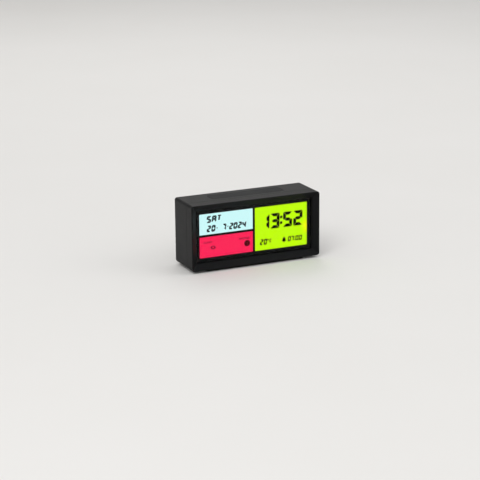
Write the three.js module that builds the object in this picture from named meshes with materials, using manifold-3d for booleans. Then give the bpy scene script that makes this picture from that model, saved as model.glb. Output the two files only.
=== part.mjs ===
// LCD desk alarm clock with a colour-lit display, in millimetres, +Z up.
// The front faces -Y. The origin is on the surface that the clock stands on, under its middle.

import * as THREE from 'three';
import { mergeVertices } from 'three/addons/utils/BufferGeometryUtils.js';
import Module from 'manifold-3d';

// Display and the frame round it
const displayWidth = 143.4;
const displayHeight = 54.2;
const dividerWidth = 2.5;
const fieldCornerRadius = 0.8;
const blackBorder = 5.4;
const bevelWidth = 6.9;
const rimWidth = 1;
const bevelDepth = 5.6;
const windowStep = 1.2;
const windowCornerRadius = 1.2;

// Case
const caseDepth = 53.6;
const footHeight = 3;
const caseCornerRadius = 3.2;
const rimFillet = 0.7;
const rearFillet = 2.4;
const bezelDepth = 16;
const bezelWall = 3.6;
const housingWall = 2.2;
const seamGap = 0.4;
const tongueLength = 3;
const tongueWall = 1.1;
const cutOverrun = 1;

// Fits
const fitGap = 0.3;
const sheetGap = 0.05;
const seatGap = 0.1;

// Window, LCD and backlight, front to back
const windowThickness = 1.5;
const windowOverlap = 2;
const printThickness = 0.15;
const polarizerThickness = 0.2;
const glassThickness = 0.7;
const cellGap = 0.15;
const glassMargin = 2.9;
const contactLedge = 3.6;
const polarizerMargin = 1;
const filmThickness = 0.2;
const diffuserThickness = 0.3;
const lightGuideThickness = 3;
const reflectorThickness = 0.2;
const backlightMargin = 1.1;
const backlightBoardThickness = 0.8;
const backlightBoardWidth = 3.4;
const ledCount = 12;
const ledLength = 3.5;
const ledDepth = 2.2;
const ledHeight = 1;
const ledRowShare = 0.92;

// LCD holder and its fixing
const holderWall = 1.2;
const holderBack = 1.5;
const holderEarWidth = 6;
const holderEarThickness = 1.5;
const holderEarHeight = 28;
const zebraThickness = 2.2;
const zebraGap = 0.3;
const bossRadius = 2.4;
const bossSink = 0.5;
const boardStandoff = 1.2;
const boardSpacerWidth = 4;

// Screws and staked pins
const boardScrewRadius = 0.9;
const boardScrewLength = 8.5;
const boardScrewHeadRadius = 1.6;
const boardScrewHeadHeight = 1.1;
const screwClearance = 0.15;
const stakeRadius = 1;
const stakeProud = 0.8;
const stakeClearance = 0.2;
const solderSink = 0.05;
const caseScrewRadius = 1.4;
const caseScrewLength = 9;
const caseScrewHeadRadius = 2.6;
const caseScrewHeadHeight = 1.8;
const caseScrewSinkDepth = 2.6;
const caseScrewFloor = 1.6;
const caseScrewSlotWidth = 0.7;
const caseScrewSlotLength = 3.4;
const caseScrewSlotDepth = 0.9;
const postRadius = 3;
const postSink = 1;

// Main board
const boardThickness = 1.6;
const mainBoardWidth = 140;
const mainBoardEdge = 1.1;
const blobRadius = 8;
const blobHeight = 1.8;
const crystalRadius = 1.5;
const crystalLength = 8;
const capacitorRadius = 4;
const capacitorLength = 11;
const chipWidth = 2;
const chipHeight = 1.2;
const chipThickness = 0.8;
const chipPitch = 5;
const socketWidth = 6;
const socketPinSpacing = 3;
const socketHeight = 4.4;
const socketDepth = 5;
const keySocketWidth = 15;

// Rear keys
const keyRowTop = 16.5;
const keyRowLeft = 62;
const buttonPitch = 15;
const buttonWidth = 10;
const buttonHeight = 6;
const buttonCornerRadius = 1.6;
const capEdge = 0.35;
const buttonProud = 0.9;
const buttonTravel = 0.7;
const keyRecessDepth = 1.2;
const keyRecessHeight = 12;
const keyRecessMargin = 4.5;
const keyRecessRadius = 2.5;
const keyRecessWall = 1.6;
const flangeThickness = 0.8;
const flangeReach = 1;
const stemRadius = 1.6;
const stemLength = 3.4;
const keySwitchSize = 6;
const keySwitchDepth = 3.5;
const stemShow = 2.2;
const stemClearance = 0.2;
const keyBoardHeight = 15;
const keyBoardMargin = 11;
const keyPostRadius = 2.1;

// Alarm slide switch
const alarmKnobWidth = 5;
const alarmKnobHeight = 4;
const alarmTravel = 3.5;
const alarmOffset = 20;
const alarmFlangeWidth = 12.5;
const alarmStemSize = 1.6;
const alarmStemLength = 3.4;
const alarmBodyWidth = 10;
const alarmBodyHeight = 5;
const alarmBodyDepth = 4;
const alarmSlotDepth = 2.6;

// Snooze bar
const snoozeWidth = 96;
const snoozeDepthShare = 0.48;
const snoozeMiddleShare = 0.415;
const snoozeCornerRadius = 3;
const snoozeHeight = 3.4;
const snoozeSkin = 1.8;
const snoozeSkirt = 1.5;
const snoozeLip = 1.2;
const snoozeLipHeight = 1;
const snoozeTravel = 1.2;
const snoozeStemRadius = 2;
const snoozeStemLength = 6;
const snoozeSwitchSize = 6;
const snoozeSwitchHeight = 4.3;
const snoozeStemShow = 4.5;
const snoozeBoardInset = 2;
const snoozeBoardOverhang = 12;
const snoozeBossInset = 4;
const snoozeBossRadius = 2.6;
const snoozeSpringSpacing = 68;
const snoozeSpringRadius = 2.4;
const snoozeSpringWire = 0.5;
const snoozeSpringTurns = 5;
const springPegRadius = 1.4;
const springPegLength = 2;

// Buzzer
const buzzerFromRight = 38;
const piezoRoomShare = 0.92;
const piezoThickness = 0.3;
const ceramicShare = 0.74;
const ceramicThickness = 0.25;
const buzzerRingWall = 1.2;
const buzzerRingHeight = 3;
const soundHoleRadius = 0.9;
const soundHolePitchShare = 0.28;
const soundHoleRings = 2;

// Battery bay, three AAA cells lying along X
const cellRadius = 5.25;
const cellLength = 44.5;
const cellNubRadius = 1.9;
const cellNubLength = 0.9;
const cellPitch = 11.2;
const cellCount = 3;
const bayFromRight = 17.5;
const bayFromBottom = 9;
const baySpringRoom = 5.3;
const bayWall = 1.5;
const bayRim = 3.5;
const bayRimThickness = 1.6;
const bayRimReach = 2.6;
const bayFloorGap = 0.3;
const plateThickness = 0.4;
const plateSize = 8.4;
const batterySpringRadius = 3.4;
const batterySpringTipRadius = 2;
const batterySpringWire = 0.6;
const batterySpringTurns = 3;
const batterySpringSink = 0.2;
const doorThickness = 2;
const doorCornerRadius = 1.2;
const doorTabWidth = 8;
const doorTabThickness = 1.2;
const doorTabLength = 4;
const doorTabSpacing = 30;
const doorLatchWidth = 12;
const doorLatchLength = 6;
const doorNotchWidth = 14;
const doorNotchHeight = 2.2;

// Power inlet
const inletFromLeft = 25;
const inletBodyWidth = 9;
const inletBodyHeight = 11;
const inletBodyDepth = 11;
const inletNoseRadius = 4;
const inletBoreRadius = 2.85;
const inletBoreDepth = 9;
const inletPinRadius = 1;
const inletPinShort = 1.5;
const powerBoardWidth = 24;
const powerBoardDepth = 13;
const powerBoardLift = 2;
const powerPostRadius = 2.1;

// Temperature sensor and its vents
const sensorFromBoardEnd = 7;
const sensorBeadRadius = 1.5;
const sensorLeadRadius = 0.3;
const sensorLeadLength = 13;
const sensorLeadSpread = 1.6;
const ventCount = 4;
const ventPitch = 3.6;
const ventWidth = 1.3;
const ventHeight = 13;

// Wires
const wireRadius = 0.6;
const twinWidth = 2.4;
const twinThickness = 1.2;
const wireSteps = 12;
const wireExit = 5;
const ribbonWidth = 11;
const ribbonThickness = 0.8;

// Rubber feet
const footWidth = 132;
const footDepth = 8;
const footSink = 0.8;
const footInset = 5.2;

// Facets of round shapes
const cornerSteps = 4;
const edgeSteps = 2;
const rearFilletSteps = 3;
const footEndSteps = 8;
const holesPerRing = 6;
const smallCornerSteps = 2;
const roundSides = 20;
const smallSides = 10;
const springSides = 5;
const springSteps = 8;

// Planes worked out from the sizes above
const windowWidth = displayWidth + 2 * blackBorder;
const windowHeight = displayHeight + 2 * blackBorder;
const caseWidth = windowWidth + 2 * (bevelWidth + rimWidth);
const caseHeight = windowHeight + 2 * (bevelWidth + rimWidth);
const caseBottom = footHeight;
const caseTop = caseBottom + caseHeight;
const middle = caseBottom + caseHeight / 2;
const bezelInnerWidth = caseWidth - 2 * bezelWall;
const bezelInnerHeight = caseHeight - 2 * bezelWall;
const housingInnerWidth = caseWidth - 2 * housingWall;
const housingInnerHeight = caseHeight - 2 * housingWall;
const backInside = caseDepth - housingWall;

const windowFront = bevelDepth + windowStep + sheetGap;
const printFront = windowFront + windowThickness + sheetGap;
const frontPolarizerFront = printFront + printThickness + sheetGap;
const frontGlassFront = frontPolarizerFront + polarizerThickness + sheetGap;
const rearGlassFront = frontGlassFront + glassThickness + cellGap;
const rearPolarizerFront = rearGlassFront + glassThickness + sheetGap;
const filmFront = rearPolarizerFront + polarizerThickness + sheetGap;
const diffuserFront = filmFront + filmThickness + sheetGap;
const lightGuideFront = diffuserFront + diffuserThickness + sheetGap;
const reflectorFront = lightGuideFront + lightGuideThickness + sheetGap;
const holderBackFront = reflectorFront + reflectorThickness + sheetGap;
const holderRear = holderBackFront + holderBack;
const mainBoardFront = holderRear + boardStandoff;
const mainBoardRear = mainBoardFront + boardThickness;

const glassWidth = displayWidth + 2 * glassMargin;
const glassTop = middle + displayHeight / 2 + glassMargin;
const rearGlassBottom = middle - displayHeight / 2 - backlightMargin - seatGap;
const frontGlassBottom = rearGlassBottom - contactLedge;

const keyRowZ = caseTop - keyRowTop;
const keyRecessFloor = caseDepth - keyRecessDepth;
const keyRecessInside = keyRecessFloor - keyRecessWall;
const capFace = keyRecessFloor + buttonProud;
const flangeRear = keyRecessInside - fitGap;
const flangeFront = flangeRear - flangeThickness;
const keySwitchRear = flangeFront - stemShow;
const keyBoardRear = keySwitchRear - keySwitchDepth;
const keyBoardFront = keyBoardRear - boardThickness;

// Closed solids as manifolds, joined and cut
const wasm = await Module();
wasm.setup();

function manifoldOf(geometry) {
  const bare = geometry.clone();
  bare.deleteAttribute('normal');
  bare.deleteAttribute('uv');
  const merged = mergeVertices(bare);
  return new wasm.Manifold(new wasm.Mesh({
    numProp: 3,
    vertProperties: new Float32Array(merged.attributes.position.array),
    triVerts: new Uint32Array(merged.index.array),
  }));
}

function geometryOf(manifold) {
  const mesh = manifold.getMesh();
  const geometry = new THREE.BufferGeometry();
  geometry.setAttribute('position', new THREE.BufferAttribute(mesh.vertProperties, mesh.numProp));
  geometry.setIndex(new THREE.BufferAttribute(mesh.triVerts, 1));
  geometry.computeVertexNormals();
  return geometry;
}

function join(...parts) {
  return geometryOf(parts.map(manifoldOf).reduce((whole, part) => whole.add(part)));
}

function cut(base, ...tools) {
  const tool = tools.map(manifoldOf).reduce((whole, part) => whole.add(part));
  return geometryOf(manifoldOf(base).subtract(tool));
}

// Points of a rounded rectangle in the XZ plane, anticlockwise seen from the front
function ring(width, height, radius, x = 0, z = middle, steps = cornerSteps) {
  const points = [];
  const corners = [[1, 1], [-1, 1], [-1, -1], [1, -1]];
  corners.forEach(([sideX, sideZ], quarter) => {
    for (let step = 0; step <= steps; step += 1) {
      const angle = (quarter + step / steps) * Math.PI / 2;
      points.push(new THREE.Vector2(
        x + sideX * (width / 2 - radius) + radius * Math.cos(angle),
        z + sideZ * (height / 2 - radius) + radius * Math.sin(angle),
      ));
    }
  });
  return points;
}

// Closed solid through outlines of equal length, each at its own depth, front to back
function loft(sections) {
  const positions = [];
  const indices = [];
  const count = sections[0].points.length;
  for (const { depth, points } of sections) {
    for (const point of points) positions.push(point.x, depth, point.y);
  }
  for (let level = 0; level + 1 < sections.length; level += 1) {
    for (let i = 0; i < count; i += 1) {
      const next = (i + 1) % count;
      const near = level * count;
      const far = near + count;
      indices.push(near + i, far + i, near + next, near + next, far + i, far + next);
    }
  }
  const last = (sections.length - 1) * count;
  for (let i = 1; i + 1 < count; i += 1) {
    indices.push(0, i, i + 1);
    indices.push(last, last + i + 1, last + i);
  }
  const geometry = new THREE.BufferGeometry();
  geometry.setAttribute('position', new THREE.Float32BufferAttribute(positions, 3));
  geometry.setIndex(indices);
  geometry.computeVertexNormals();
  return geometry;
}

// Outline pushed back from one depth to another, with its edges rounded by edge
function slab(points, front, back, edge = 0) {
  const geometry = new THREE.ExtrudeGeometry(new THREE.Shape(points), {
    depth: back - front - 2 * edge,
    bevelEnabled: edge > 0,
    bevelThickness: edge,
    bevelSize: edge,
    bevelOffset: -edge,
    bevelSegments: edgeSteps,
  });
  geometry.rotateX(Math.PI / 2);
  geometry.translate(0, back - edge, 0);
  return geometry;
}

// Box between two planes in each direction
function box([left, right], [front, back], [bottom, top]) {
  const geometry = new THREE.BoxGeometry(right - left, back - front, top - bottom);
  geometry.translate((left + right) / 2, (front + back) / 2, (bottom + top) / 2);
  return geometry;
}

function around(centre, size) {
  return [centre - size / 2, centre + size / 2];
}

// Round rods along each axis
function rodY(x, z, front, back, radius, sides = smallSides) {
  const geometry = new THREE.CylinderGeometry(radius, radius, back - front, sides);
  geometry.translate(x, (front + back) / 2, z);
  return geometry;
}

function rodZ(x, y, bottom, top, radius, sides = smallSides) {
  const geometry = new THREE.CylinderGeometry(radius, radius, top - bottom, sides);
  geometry.rotateX(Math.PI / 2);
  geometry.translate(x, y, (bottom + top) / 2);
  return geometry;
}

// Coil spring along +Z from its base, its least gap to itself printed
function coil(height, bottomRadius, topRadius, wire, turns, name) {
  const total = turns * springSteps;
  const points = [];
  for (let i = 0; i <= total; i += 1) {
    const share = i / total;
    const angle = 2 * Math.PI * i / springSteps;
    const radius = bottomRadius + (topRadius - bottomRadius) * share;
    const z = wire / 2 + (height - wire) * share;
    points.push(new THREE.Vector3(radius * Math.cos(angle), radius * Math.sin(angle), z));
  }
  let least = Infinity;
  for (let i = 0; i < points.length; i += 1) {
    for (let j = i + springSteps / 2; j < points.length; j += 1) {
      least = Math.min(least, points[i].distanceTo(points[j]) - wire);
    }
  }
  console.log(`${name}: least gap between turns ${least.toFixed(2)} mm`);
  const positions = [];
  const indices = [];
  points.forEach((point, i) => {
    const angle = 2 * Math.PI * i / springSteps;
    const outward = new THREE.Vector3(Math.cos(angle), Math.sin(angle), 0);
    for (let side = 0; side < springSides; side += 1) {
      const turn = 2 * Math.PI * side / springSides;
      const at = point.clone().addScaledVector(outward, wire / 2 * Math.cos(turn));
      positions.push(at.x, at.y, at.z + wire / 2 * Math.sin(turn));
    }
  });
  for (let i = 0; i < total; i += 1) {
    for (let side = 0; side < springSides; side += 1) {
      const next = (side + 1) % springSides;
      const near = i * springSides;
      const far = near + springSides;
      indices.push(near + side, far + side, near + next, near + next, far + side, far + next);
    }
  }
  const end = total * springSides;
  for (let side = 1; side + 1 < springSides; side += 1) {
    indices.push(0, side, side + 1);
    indices.push(end, end + side + 1, end + side);
  }
  const geometry = new THREE.BufferGeometry();
  geometry.setAttribute('position', new THREE.Float32BufferAttribute(positions, 3));
  geometry.setIndex(indices);
  return geometry;
}

// Materials
const materials = {
  caseBlack: new THREE.MeshStandardMaterial({ color: 0x101012, roughness: 0.45 }),
  keyBlack: new THREE.MeshStandardMaterial({ color: 0x1b1b1e, roughness: 0.6 }),
  clearWindow: new THREE.MeshStandardMaterial({ color: 0xf2f6f8, roughness: 0.05 }),
  printBlack: new THREE.MeshStandardMaterial({ color: 0x050506, roughness: 0.3 }),
  polarizer: new THREE.MeshStandardMaterial({ color: 0xb9c2bd, roughness: 0.3 }),
  glass: new THREE.MeshStandardMaterial({ color: 0xdfeeea, roughness: 0.05 }),
  filmWhite: new THREE.MeshStandardMaterial({ color: 0xcdfafa, roughness: 0.6 }),
  filmPink: new THREE.MeshStandardMaterial({ color: 0xfb2357, roughness: 0.6 }),
  filmGreen: new THREE.MeshStandardMaterial({ color: 0xc1fc05, roughness: 0.6 }),
  whitePlastic: new THREE.MeshStandardMaterial({ color: 0xe8e8e2, roughness: 0.55 }),
  lightGuide: new THREE.MeshStandardMaterial({ color: 0xf4f8fa, roughness: 0.1 }),
  elastomer: new THREE.MeshStandardMaterial({ color: 0x8f8f92, roughness: 0.7 }),
  board: new THREE.MeshStandardMaterial({ color: 0x1d5a34, roughness: 0.5 }),
  epoxy: new THREE.MeshStandardMaterial({ color: 0x141414, roughness: 0.35 }),
  steel: new THREE.MeshStandardMaterial({ color: 0xb9bbbd, roughness: 0.3, metalness: 1 }),
  brass: new THREE.MeshStandardMaterial({ color: 0xc9a24e, roughness: 0.35, metalness: 1 }),
  ceramic: new THREE.MeshStandardMaterial({ color: 0xe9e4d6, roughness: 0.6 }),
  cellWrap: new THREE.MeshStandardMaterial({ color: 0x3d5f86, roughness: 0.4 }),
  rubber: new THREE.MeshStandardMaterial({ color: 0x17171a, roughness: 0.9 }),
  wireRed: new THREE.MeshStandardMaterial({ color: 0xb3201c, roughness: 0.5 }),
  wireBlack: new THREE.MeshStandardMaterial({ color: 0x202022, roughness: 0.5 }),
  ribbonGrey: new THREE.MeshStandardMaterial({ color: 0x9a9ba0, roughness: 0.6 }),
};

const clock = new THREE.Group();
clock.position.y = -caseDepth / 2;

function place(name, geometry, material, group = clock) {
  const mesh = new THREE.Mesh(geometry, material);
  mesh.name = name;
  group.add(mesh);
  return mesh;
}

// Places of the four long screw posts in the case corners
function postPlaces() {
  const x = bezelInnerWidth / 2 - postRadius + postSink;
  const z = bezelInnerHeight / 2 - postRadius + postSink;
  return [[-x, middle - z], [x, middle - z], [x, middle + z], [-x, middle + z]];
}

// Places of the bosses in the bezel that carry the LCD holder
function holderBossPlaces() {
  const x = bezelInnerWidth / 2 - bossRadius + bossSink;
  const z = holderEarHeight / 2;
  return [[-x, middle - z], [x, middle - z], [x, middle + z], [-x, middle + z]];
}

const holderWidth = glassWidth + 2 * (fitGap + holderWall);
const holderTop = glassTop + fitGap + holderWall;
const holderBottom = frontGlassBottom - fitGap - holderWall;

const holderEarFront = holderRear - holderEarThickness - seatGap;
const postTop = caseDepth - caseScrewSinkDepth - caseScrewFloor - seatGap;

// Front moulding: rim, slope down to the window, screw posts and a tongue into the rear housing
function frontBezel() {
  const outer = loft([
    ...Array.from({ length: edgeSteps + 1 }, (unused, step) => {
      const angle = step / edgeSteps * Math.PI / 2;
      const inset = rimFillet * (1 - Math.sin(angle));
      return {
        depth: rimFillet * (1 - Math.cos(angle)),
        points: ring(caseWidth - 2 * inset, caseHeight - 2 * inset, caseCornerRadius - inset),
      };
    }),
    { depth: bezelDepth, points: ring(caseWidth, caseHeight, caseCornerRadius) },
  ]);
  const rimInside = ring(
    caseWidth - 2 * rimWidth,
    caseHeight - 2 * rimWidth,
    caseCornerRadius - rimWidth,
  );
  const windowEdge = ring(windowWidth, windowHeight, windowCornerRadius);
  const slope = loft([
    { depth: -cutOverrun, points: rimInside },
    { depth: 0, points: rimInside },
    { depth: bevelDepth, points: windowEdge },
    { depth: bevelDepth + windowStep + cutOverrun, points: windowEdge },
  ]);
  const inner = ring(bezelInnerWidth, bezelInnerHeight, windowCornerRadius);
  const cavity = slab(inner, bevelDepth + windowStep, bezelDepth + cutOverrun);
  const shell = cut(outer, slope, cavity, ...footPockets());

  const tongueWidth = housingInnerWidth - 2 * fitGap;
  const tongueHeight = housingInnerHeight - 2 * fitGap;
  const tongueFront = bezelDepth - tongueLength;
  const tongueRear = bezelDepth + tongueLength;
  const tongue = cut(
    slab(ring(tongueWidth, tongueHeight, windowCornerRadius), tongueFront, tongueRear),
    slab(
      ring(tongueWidth - 2 * tongueWall, tongueHeight - 2 * tongueWall, fieldCornerRadius),
      tongueFront - cutOverrun,
      tongueRear + cutOverrun,
    ),
  );
  const postFront = windowFront + windowThickness + printThickness + fitGap;
  const posts = postPlaces().map(([x, z]) => rodY(x, z, postFront, postTop, postRadius));
  const bosses = holderBossPlaces().map(([x, z]) => (
    rodY(x, z, postFront, holderEarFront - seatGap, bossRadius)
  ));
  const postHoles = postPlaces().map(([x, z]) => (
    rodY(x, z, postTop - caseScrewLength, postTop + cutOverrun, caseScrewRadius + fitGap)
  ));
  const bossHoleFront = mainBoardRear - boardScrewLength - screwClearance;
  const bossHoles = holderBossPlaces().map(([x, z]) => (
    rodY(x, z, bossHoleFront, bezelDepth, boardScrewRadius + screwClearance)
  ));
  return cut(join(shell, tongue, ...posts, ...bosses), ...postHoles, ...bossHoles);
}

// Shallow pockets under the case that hold the rubber feet
function footPlaces() {
  return [footInset + footDepth / 2, caseDepth - footInset - footDepth / 2];
}

function footPockets() {
  return footPlaces().map((y) => footShape(y, footWidth + 2 * seatGap, footDepth + 2 * seatGap,
    caseBottom - cutOverrun, caseBottom + footSink + seatGap));
}

function footShape(y, width, depth, bottom, top) {
  const outline = new THREE.Shape();
  const radius = depth / 2;
  outline.absarc(width / 2 - radius, 0, radius, -Math.PI / 2, Math.PI / 2);
  outline.absarc(-width / 2 + radius, 0, radius, Math.PI / 2, 3 * Math.PI / 2);
  const geometry = new THREE.ExtrudeGeometry(outline, {
    depth: top - bottom,
    bevelEnabled: false,
    curveSegments: footEndSteps,
  });
  geometry.translate(0, y, bottom);
  return geometry;
}

// Clear window and the black screen print behind it, open over the three colour fields
const fieldWide = (displayWidth - dividerWidth) / 2;
const fieldX = (displayWidth + dividerWidth) / 4;
const fieldLow = (displayHeight - dividerWidth) / 2;
const fieldZ = (displayHeight + dividerWidth) / 4;

function windowOutline() {
  return ring(
    windowWidth + 2 * windowOverlap,
    windowHeight + 2 * windowOverlap,
    windowCornerRadius,
  );
}

function windowPrint() {
  const sheet = slab(windowOutline(), printFront, printFront + printThickness);
  const fields = [
    ring(fieldWide, fieldLow, fieldCornerRadius, -fieldX, middle + fieldZ),
    ring(fieldWide, fieldLow, fieldCornerRadius, -fieldX, middle - fieldZ),
    ring(fieldWide, displayHeight, fieldCornerRadius, fieldX, middle),
  ];
  return cut(sheet, ...fields.map((field) => (
    slab(field, printFront - cutOverrun, printFront + printThickness + cutOverrun)
  )));
}

// Flat sheet of the display stack
function sheet(width, bottom, top, front, thickness) {
  return box(around(0, width), [front, front + thickness], [bottom, top]);
}

const backlightWidth = displayWidth + 2 * backlightMargin;
const backlightTop = middle + displayHeight / 2 + backlightMargin;
const backlightBottom = middle - displayHeight / 2 - backlightMargin;
const rearFrontGlass = frontGlassFront + glassThickness;

function colourFilm(left, right, bottom, top) {
  return box([left, right], [filmFront, filmFront + filmThickness], [bottom, top]);
}

const ledTop = backlightTop + sheetGap + ledHeight;

// Board along the top edge of the light guide, with its lamps soldered on
function ledBar() {
  const centre = lightGuideFront + lightGuideThickness / 2;
  const parts = [box(
    around(0, backlightWidth),
    around(centre, backlightBoardWidth),
    [ledTop, ledTop + backlightBoardThickness],
  )];
  const row = backlightWidth * ledRowShare;
  for (let i = 0; i < ledCount; i += 1) {
    const x = -row / 2 + row * i / (ledCount - 1);
    const along = around(x, ledLength);
    parts.push(box(along, around(centre, ledDepth), [ledTop - ledHeight, ledTop + solderSink]));
  }
  return join(...parts);
}

// White tray that holds the LCD stack, with ears on the bezel's bosses and spacers for the board
const zebraZ = (rearGlassBottom + frontGlassBottom) / 2;
const zebraWidth = glassWidth - 2 * glassMargin;

function lcdHolder() {
  const front = frontPolarizerFront;
  const tray = box(around(0, holderWidth), [front, holderRear], [holderBottom, holderTop]);
  const room = box(
    around(0, holderWidth - 2 * holderWall),
    [front - cutOverrun, holderBackFront],
    [holderBottom + holderWall, holderTop - holderWall],
  );
  const slot = box(
    around(0, zebraWidth + 2 * zebraGap),
    [front, holderRear + cutOverrun],
    around(zebraZ, zebraThickness + 2 * zebraGap),
  );
  const ears = holderBossPlaces().flatMap(([x, z]) => {
    const side = Math.sign(x);
    const inner = side * (holderWidth / 2 - holderWall);
    const outer = side * (bezelInnerWidth / 2 - fitGap);
    const reach = [Math.min(inner, outer), Math.max(inner, outer)];
    const flat = [holderEarFront, holderEarFront + holderEarThickness];
    const spacer = [holderEarFront, mainBoardFront - sheetGap];
    return [box(reach, flat, around(z, holderEarWidth)), box(reach, spacer, around(z, boardSpacerWidth))];
  });
  const holes = holderBossPlaces().map(([x, z]) => (
    rodY(x, z, holderEarFront - cutOverrun, mainBoardFront, boardScrewRadius + fitGap)
  ));
  return cut(join(cut(tray, room, slot), ...ears), ...holes);
}

// Pan-head screw with its head's seat at the origin and its shank towards -Y
function screw(shankRadius, shankLength, headRadius, headHeight) {
  const profile = [
    [0, -shankLength],
    [shankRadius / 2, -shankLength],
    [shankRadius, -shankLength + shankRadius],
    [shankRadius, 0],
    [headRadius, 0],
    [headRadius, headHeight / 2],
    [headRadius / 2, headHeight],
    [0, headHeight],
  ];
  return new THREE.LatheGeometry(profile.map(([x, y]) => new THREE.Vector2(x, y)), smallSides);
}

// Screws through the main board and the holder's ears into the bezel's bosses
function boardScrew([x, z]) {
  const body = screw(boardScrewRadius, boardScrewLength, boardScrewHeadRadius, boardScrewHeadHeight);
  return body.translate(x, mainBoardRear + seatGap, z);
}

// Case screw, with a cross slot, in a shallow sink in the back
function caseScrew([x, z]) {
  const slotRange = [caseScrewHeadHeight - caseScrewSlotDepth, caseScrewHeadHeight + cutOverrun];
  const long = around(0, caseScrewSlotLength);
  const wide = around(0, caseScrewSlotWidth);
  const length = caseScrewLength - fitGap;
  const body = screw(caseScrewRadius, length, caseScrewHeadRadius, caseScrewHeadHeight);
  const slotted = cut(body, box(long, slotRange, wide), box(wide, slotRange, long));
  return slotted.translate(x, caseDepth - caseScrewSinkDepth + seatGap, z);
}

// Main board with the small parts and cable sockets soldered to its rear face
const mainBoardTop = middle + bezelInnerHeight / 2 - mainBoardEdge;
const mainBoardBottom = middle - bezelInnerHeight / 2 + mainBoardEdge;

// Places on the main board, as shares of its half width and half height
const blobShares = [0.12, 0.1];
const crystalShares = [0.36, 0.22];
const capacitorShares = [-0.62, -0.42];
const chipRowShares = [[-0.3, 0.42], [0.3, -0.32]];
const chipsPerRow = 6;
const batterySocketShares = [0.02, -0.6];
const buzzerSocketShares = [0.45, 0.62];
const powerSocketShares = [-0.35, -0.62];
const snoozeSocketShares = [-0.05, 0.7];
const keySocketShares = [-0.62, 0.36];

function boardPlace([shareX, shareZ]) {
  const x = shareX * mainBoardWidth / 2;
  const z = middle + shareZ * (mainBoardTop - mainBoardBottom) / 2;
  return [x, z];
}

function controllerBlob() {
  const [x, z] = boardPlace(blobShares);
  const arc = [];
  for (let i = 0; i <= cornerSteps; i += 1) {
    const angle = i / cornerSteps * Math.PI / 2;
    arc.push(new THREE.Vector2(blobRadius * Math.cos(angle), blobHeight * Math.sin(angle)));
  }
  arc[cornerSteps].x = 0;
  const profile = [new THREE.Vector2(0, 0), ...arc];
  const geometry = new THREE.LatheGeometry(profile, roundSides);
  geometry.translate(x, mainBoardRear + sheetGap, z);
  return geometry;
}

function crystalCan() {
  const [x, z] = boardPlace(crystalShares);
  const y = mainBoardRear + seatGap + crystalRadius;
  return rodZ(x, y, z - crystalLength / 2, z + crystalLength / 2, crystalRadius);
}

function filterCapacitor() {
  const [x, z] = boardPlace(capacitorShares);
  const front = mainBoardRear + sheetGap;
  return rodY(x, z, front, front + capacitorLength, capacitorRadius, roundSides);
}

function chips() {
  const depth = [mainBoardRear - solderSink, mainBoardRear + chipThickness];
  const parts = [];
  for (const shares of chipRowShares) {
    const [rowX, z] = boardPlace(shares);
    for (let i = 0; i < chipsPerRow; i += 1) {
      const x = rowX + (i - (chipsPerRow - 1) / 2) * chipPitch;
      parts.push(box(around(x, chipWidth), depth, around(z, chipHeight)));
    }
  }
  return parts;
}

const socketRear = mainBoardRear + socketDepth;

function sockets() {
  const depth = [mainBoardRear - solderSink, socketRear];
  const small = [batterySocketShares, buzzerSocketShares, powerSocketShares, snoozeSocketShares];
  const parts = small.map(boardPlace).map(([x, z]) => (
    box(around(x, socketWidth), depth, around(z, socketHeight))
  ));
  const [x, z] = boardPlace(keySocketShares);
  parts.push(box(around(x, keySocketWidth), depth, around(z, socketHeight)));
  return parts;
}

function mainBoard() {
  const depth = [mainBoardFront, mainBoardRear];
  const plate = box(around(0, mainBoardWidth), depth, [mainBoardBottom, mainBoardTop]);
  const earWidth = bezelInnerWidth - 2 * fitGap;
  const ears = around(middle, holderEarHeight).map((z) => (
    box(around(0, earWidth), depth, around(z, holderEarWidth))
  ));
  const holes = holderBossPlaces().map(([x, z]) => (
    rodY(x, z, mainBoardFront - cutOverrun, mainBoardRear + cutOverrun, boardScrewRadius + fitGap)
  ));
  return cut(join(plate, ...ears, ...chips(), ...sockets()), ...holes);
}

// Rear key row
const buttonNames = ['mode', 'set', 'up', 'down'];
const buttonX = buttonNames.map((name, i) => -keyRowLeft + i * buttonPitch);
const alarmX = buttonX[buttonX.length - 1] + alarmOffset;
const keyRecessLeft = buttonX[0] - buttonWidth / 2 - keyRecessMargin;
const keyRecessRight = alarmX + alarmTravel + alarmKnobWidth / 2 + keyRecessMargin;
const keyRecessX = (keyRecessLeft + keyRecessRight) / 2;
const keyRecessWidth = keyRecessRight - keyRecessLeft;
const keyBoardLeft = buttonX[0] - keyBoardMargin;
const keyBoardRight = keyRecessRight + keyBoardMargin / 2;

function keyPostPlaces() {
  const x = [keyBoardLeft + keyPostRadius, keyBoardRight - keyPostRadius];
  const z = keyBoardHeight / 2 - keyPostRadius;
  return x.flatMap((at) => [[at, keyRowZ - z], [at, keyRowZ + z]]);
}

// Key board with its switches, each bored for the stem of a button
function keyBoard() {
  const plate = box(
    [keyBoardLeft, keyBoardRight],
    [keyBoardFront, keyBoardRear],
    around(keyRowZ, keyBoardHeight),
  );
  const bodies = buttonX.map((x) => box(
    around(x, keySwitchSize),
    [keyBoardRear - solderSink, keySwitchRear],
    around(keyRowZ, keySwitchSize),
  ));
  const boreFront = flangeFront - stemLength - buttonTravel - stemClearance;
  const bores = buttonX.map((x) => (
    rodY(x, keyRowZ, boreFront, keySwitchRear + cutOverrun, stemRadius + stemClearance)
  ));
  const holes = keyPostPlaces().map(([x, z]) => (
    rodY(x, z, keyBoardFront - cutOverrun, keyBoardRear + cutOverrun, stakeRadius + stakeClearance)
  ));
  return cut(join(plate, ...bodies), ...bores, ...holes);
}

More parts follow.
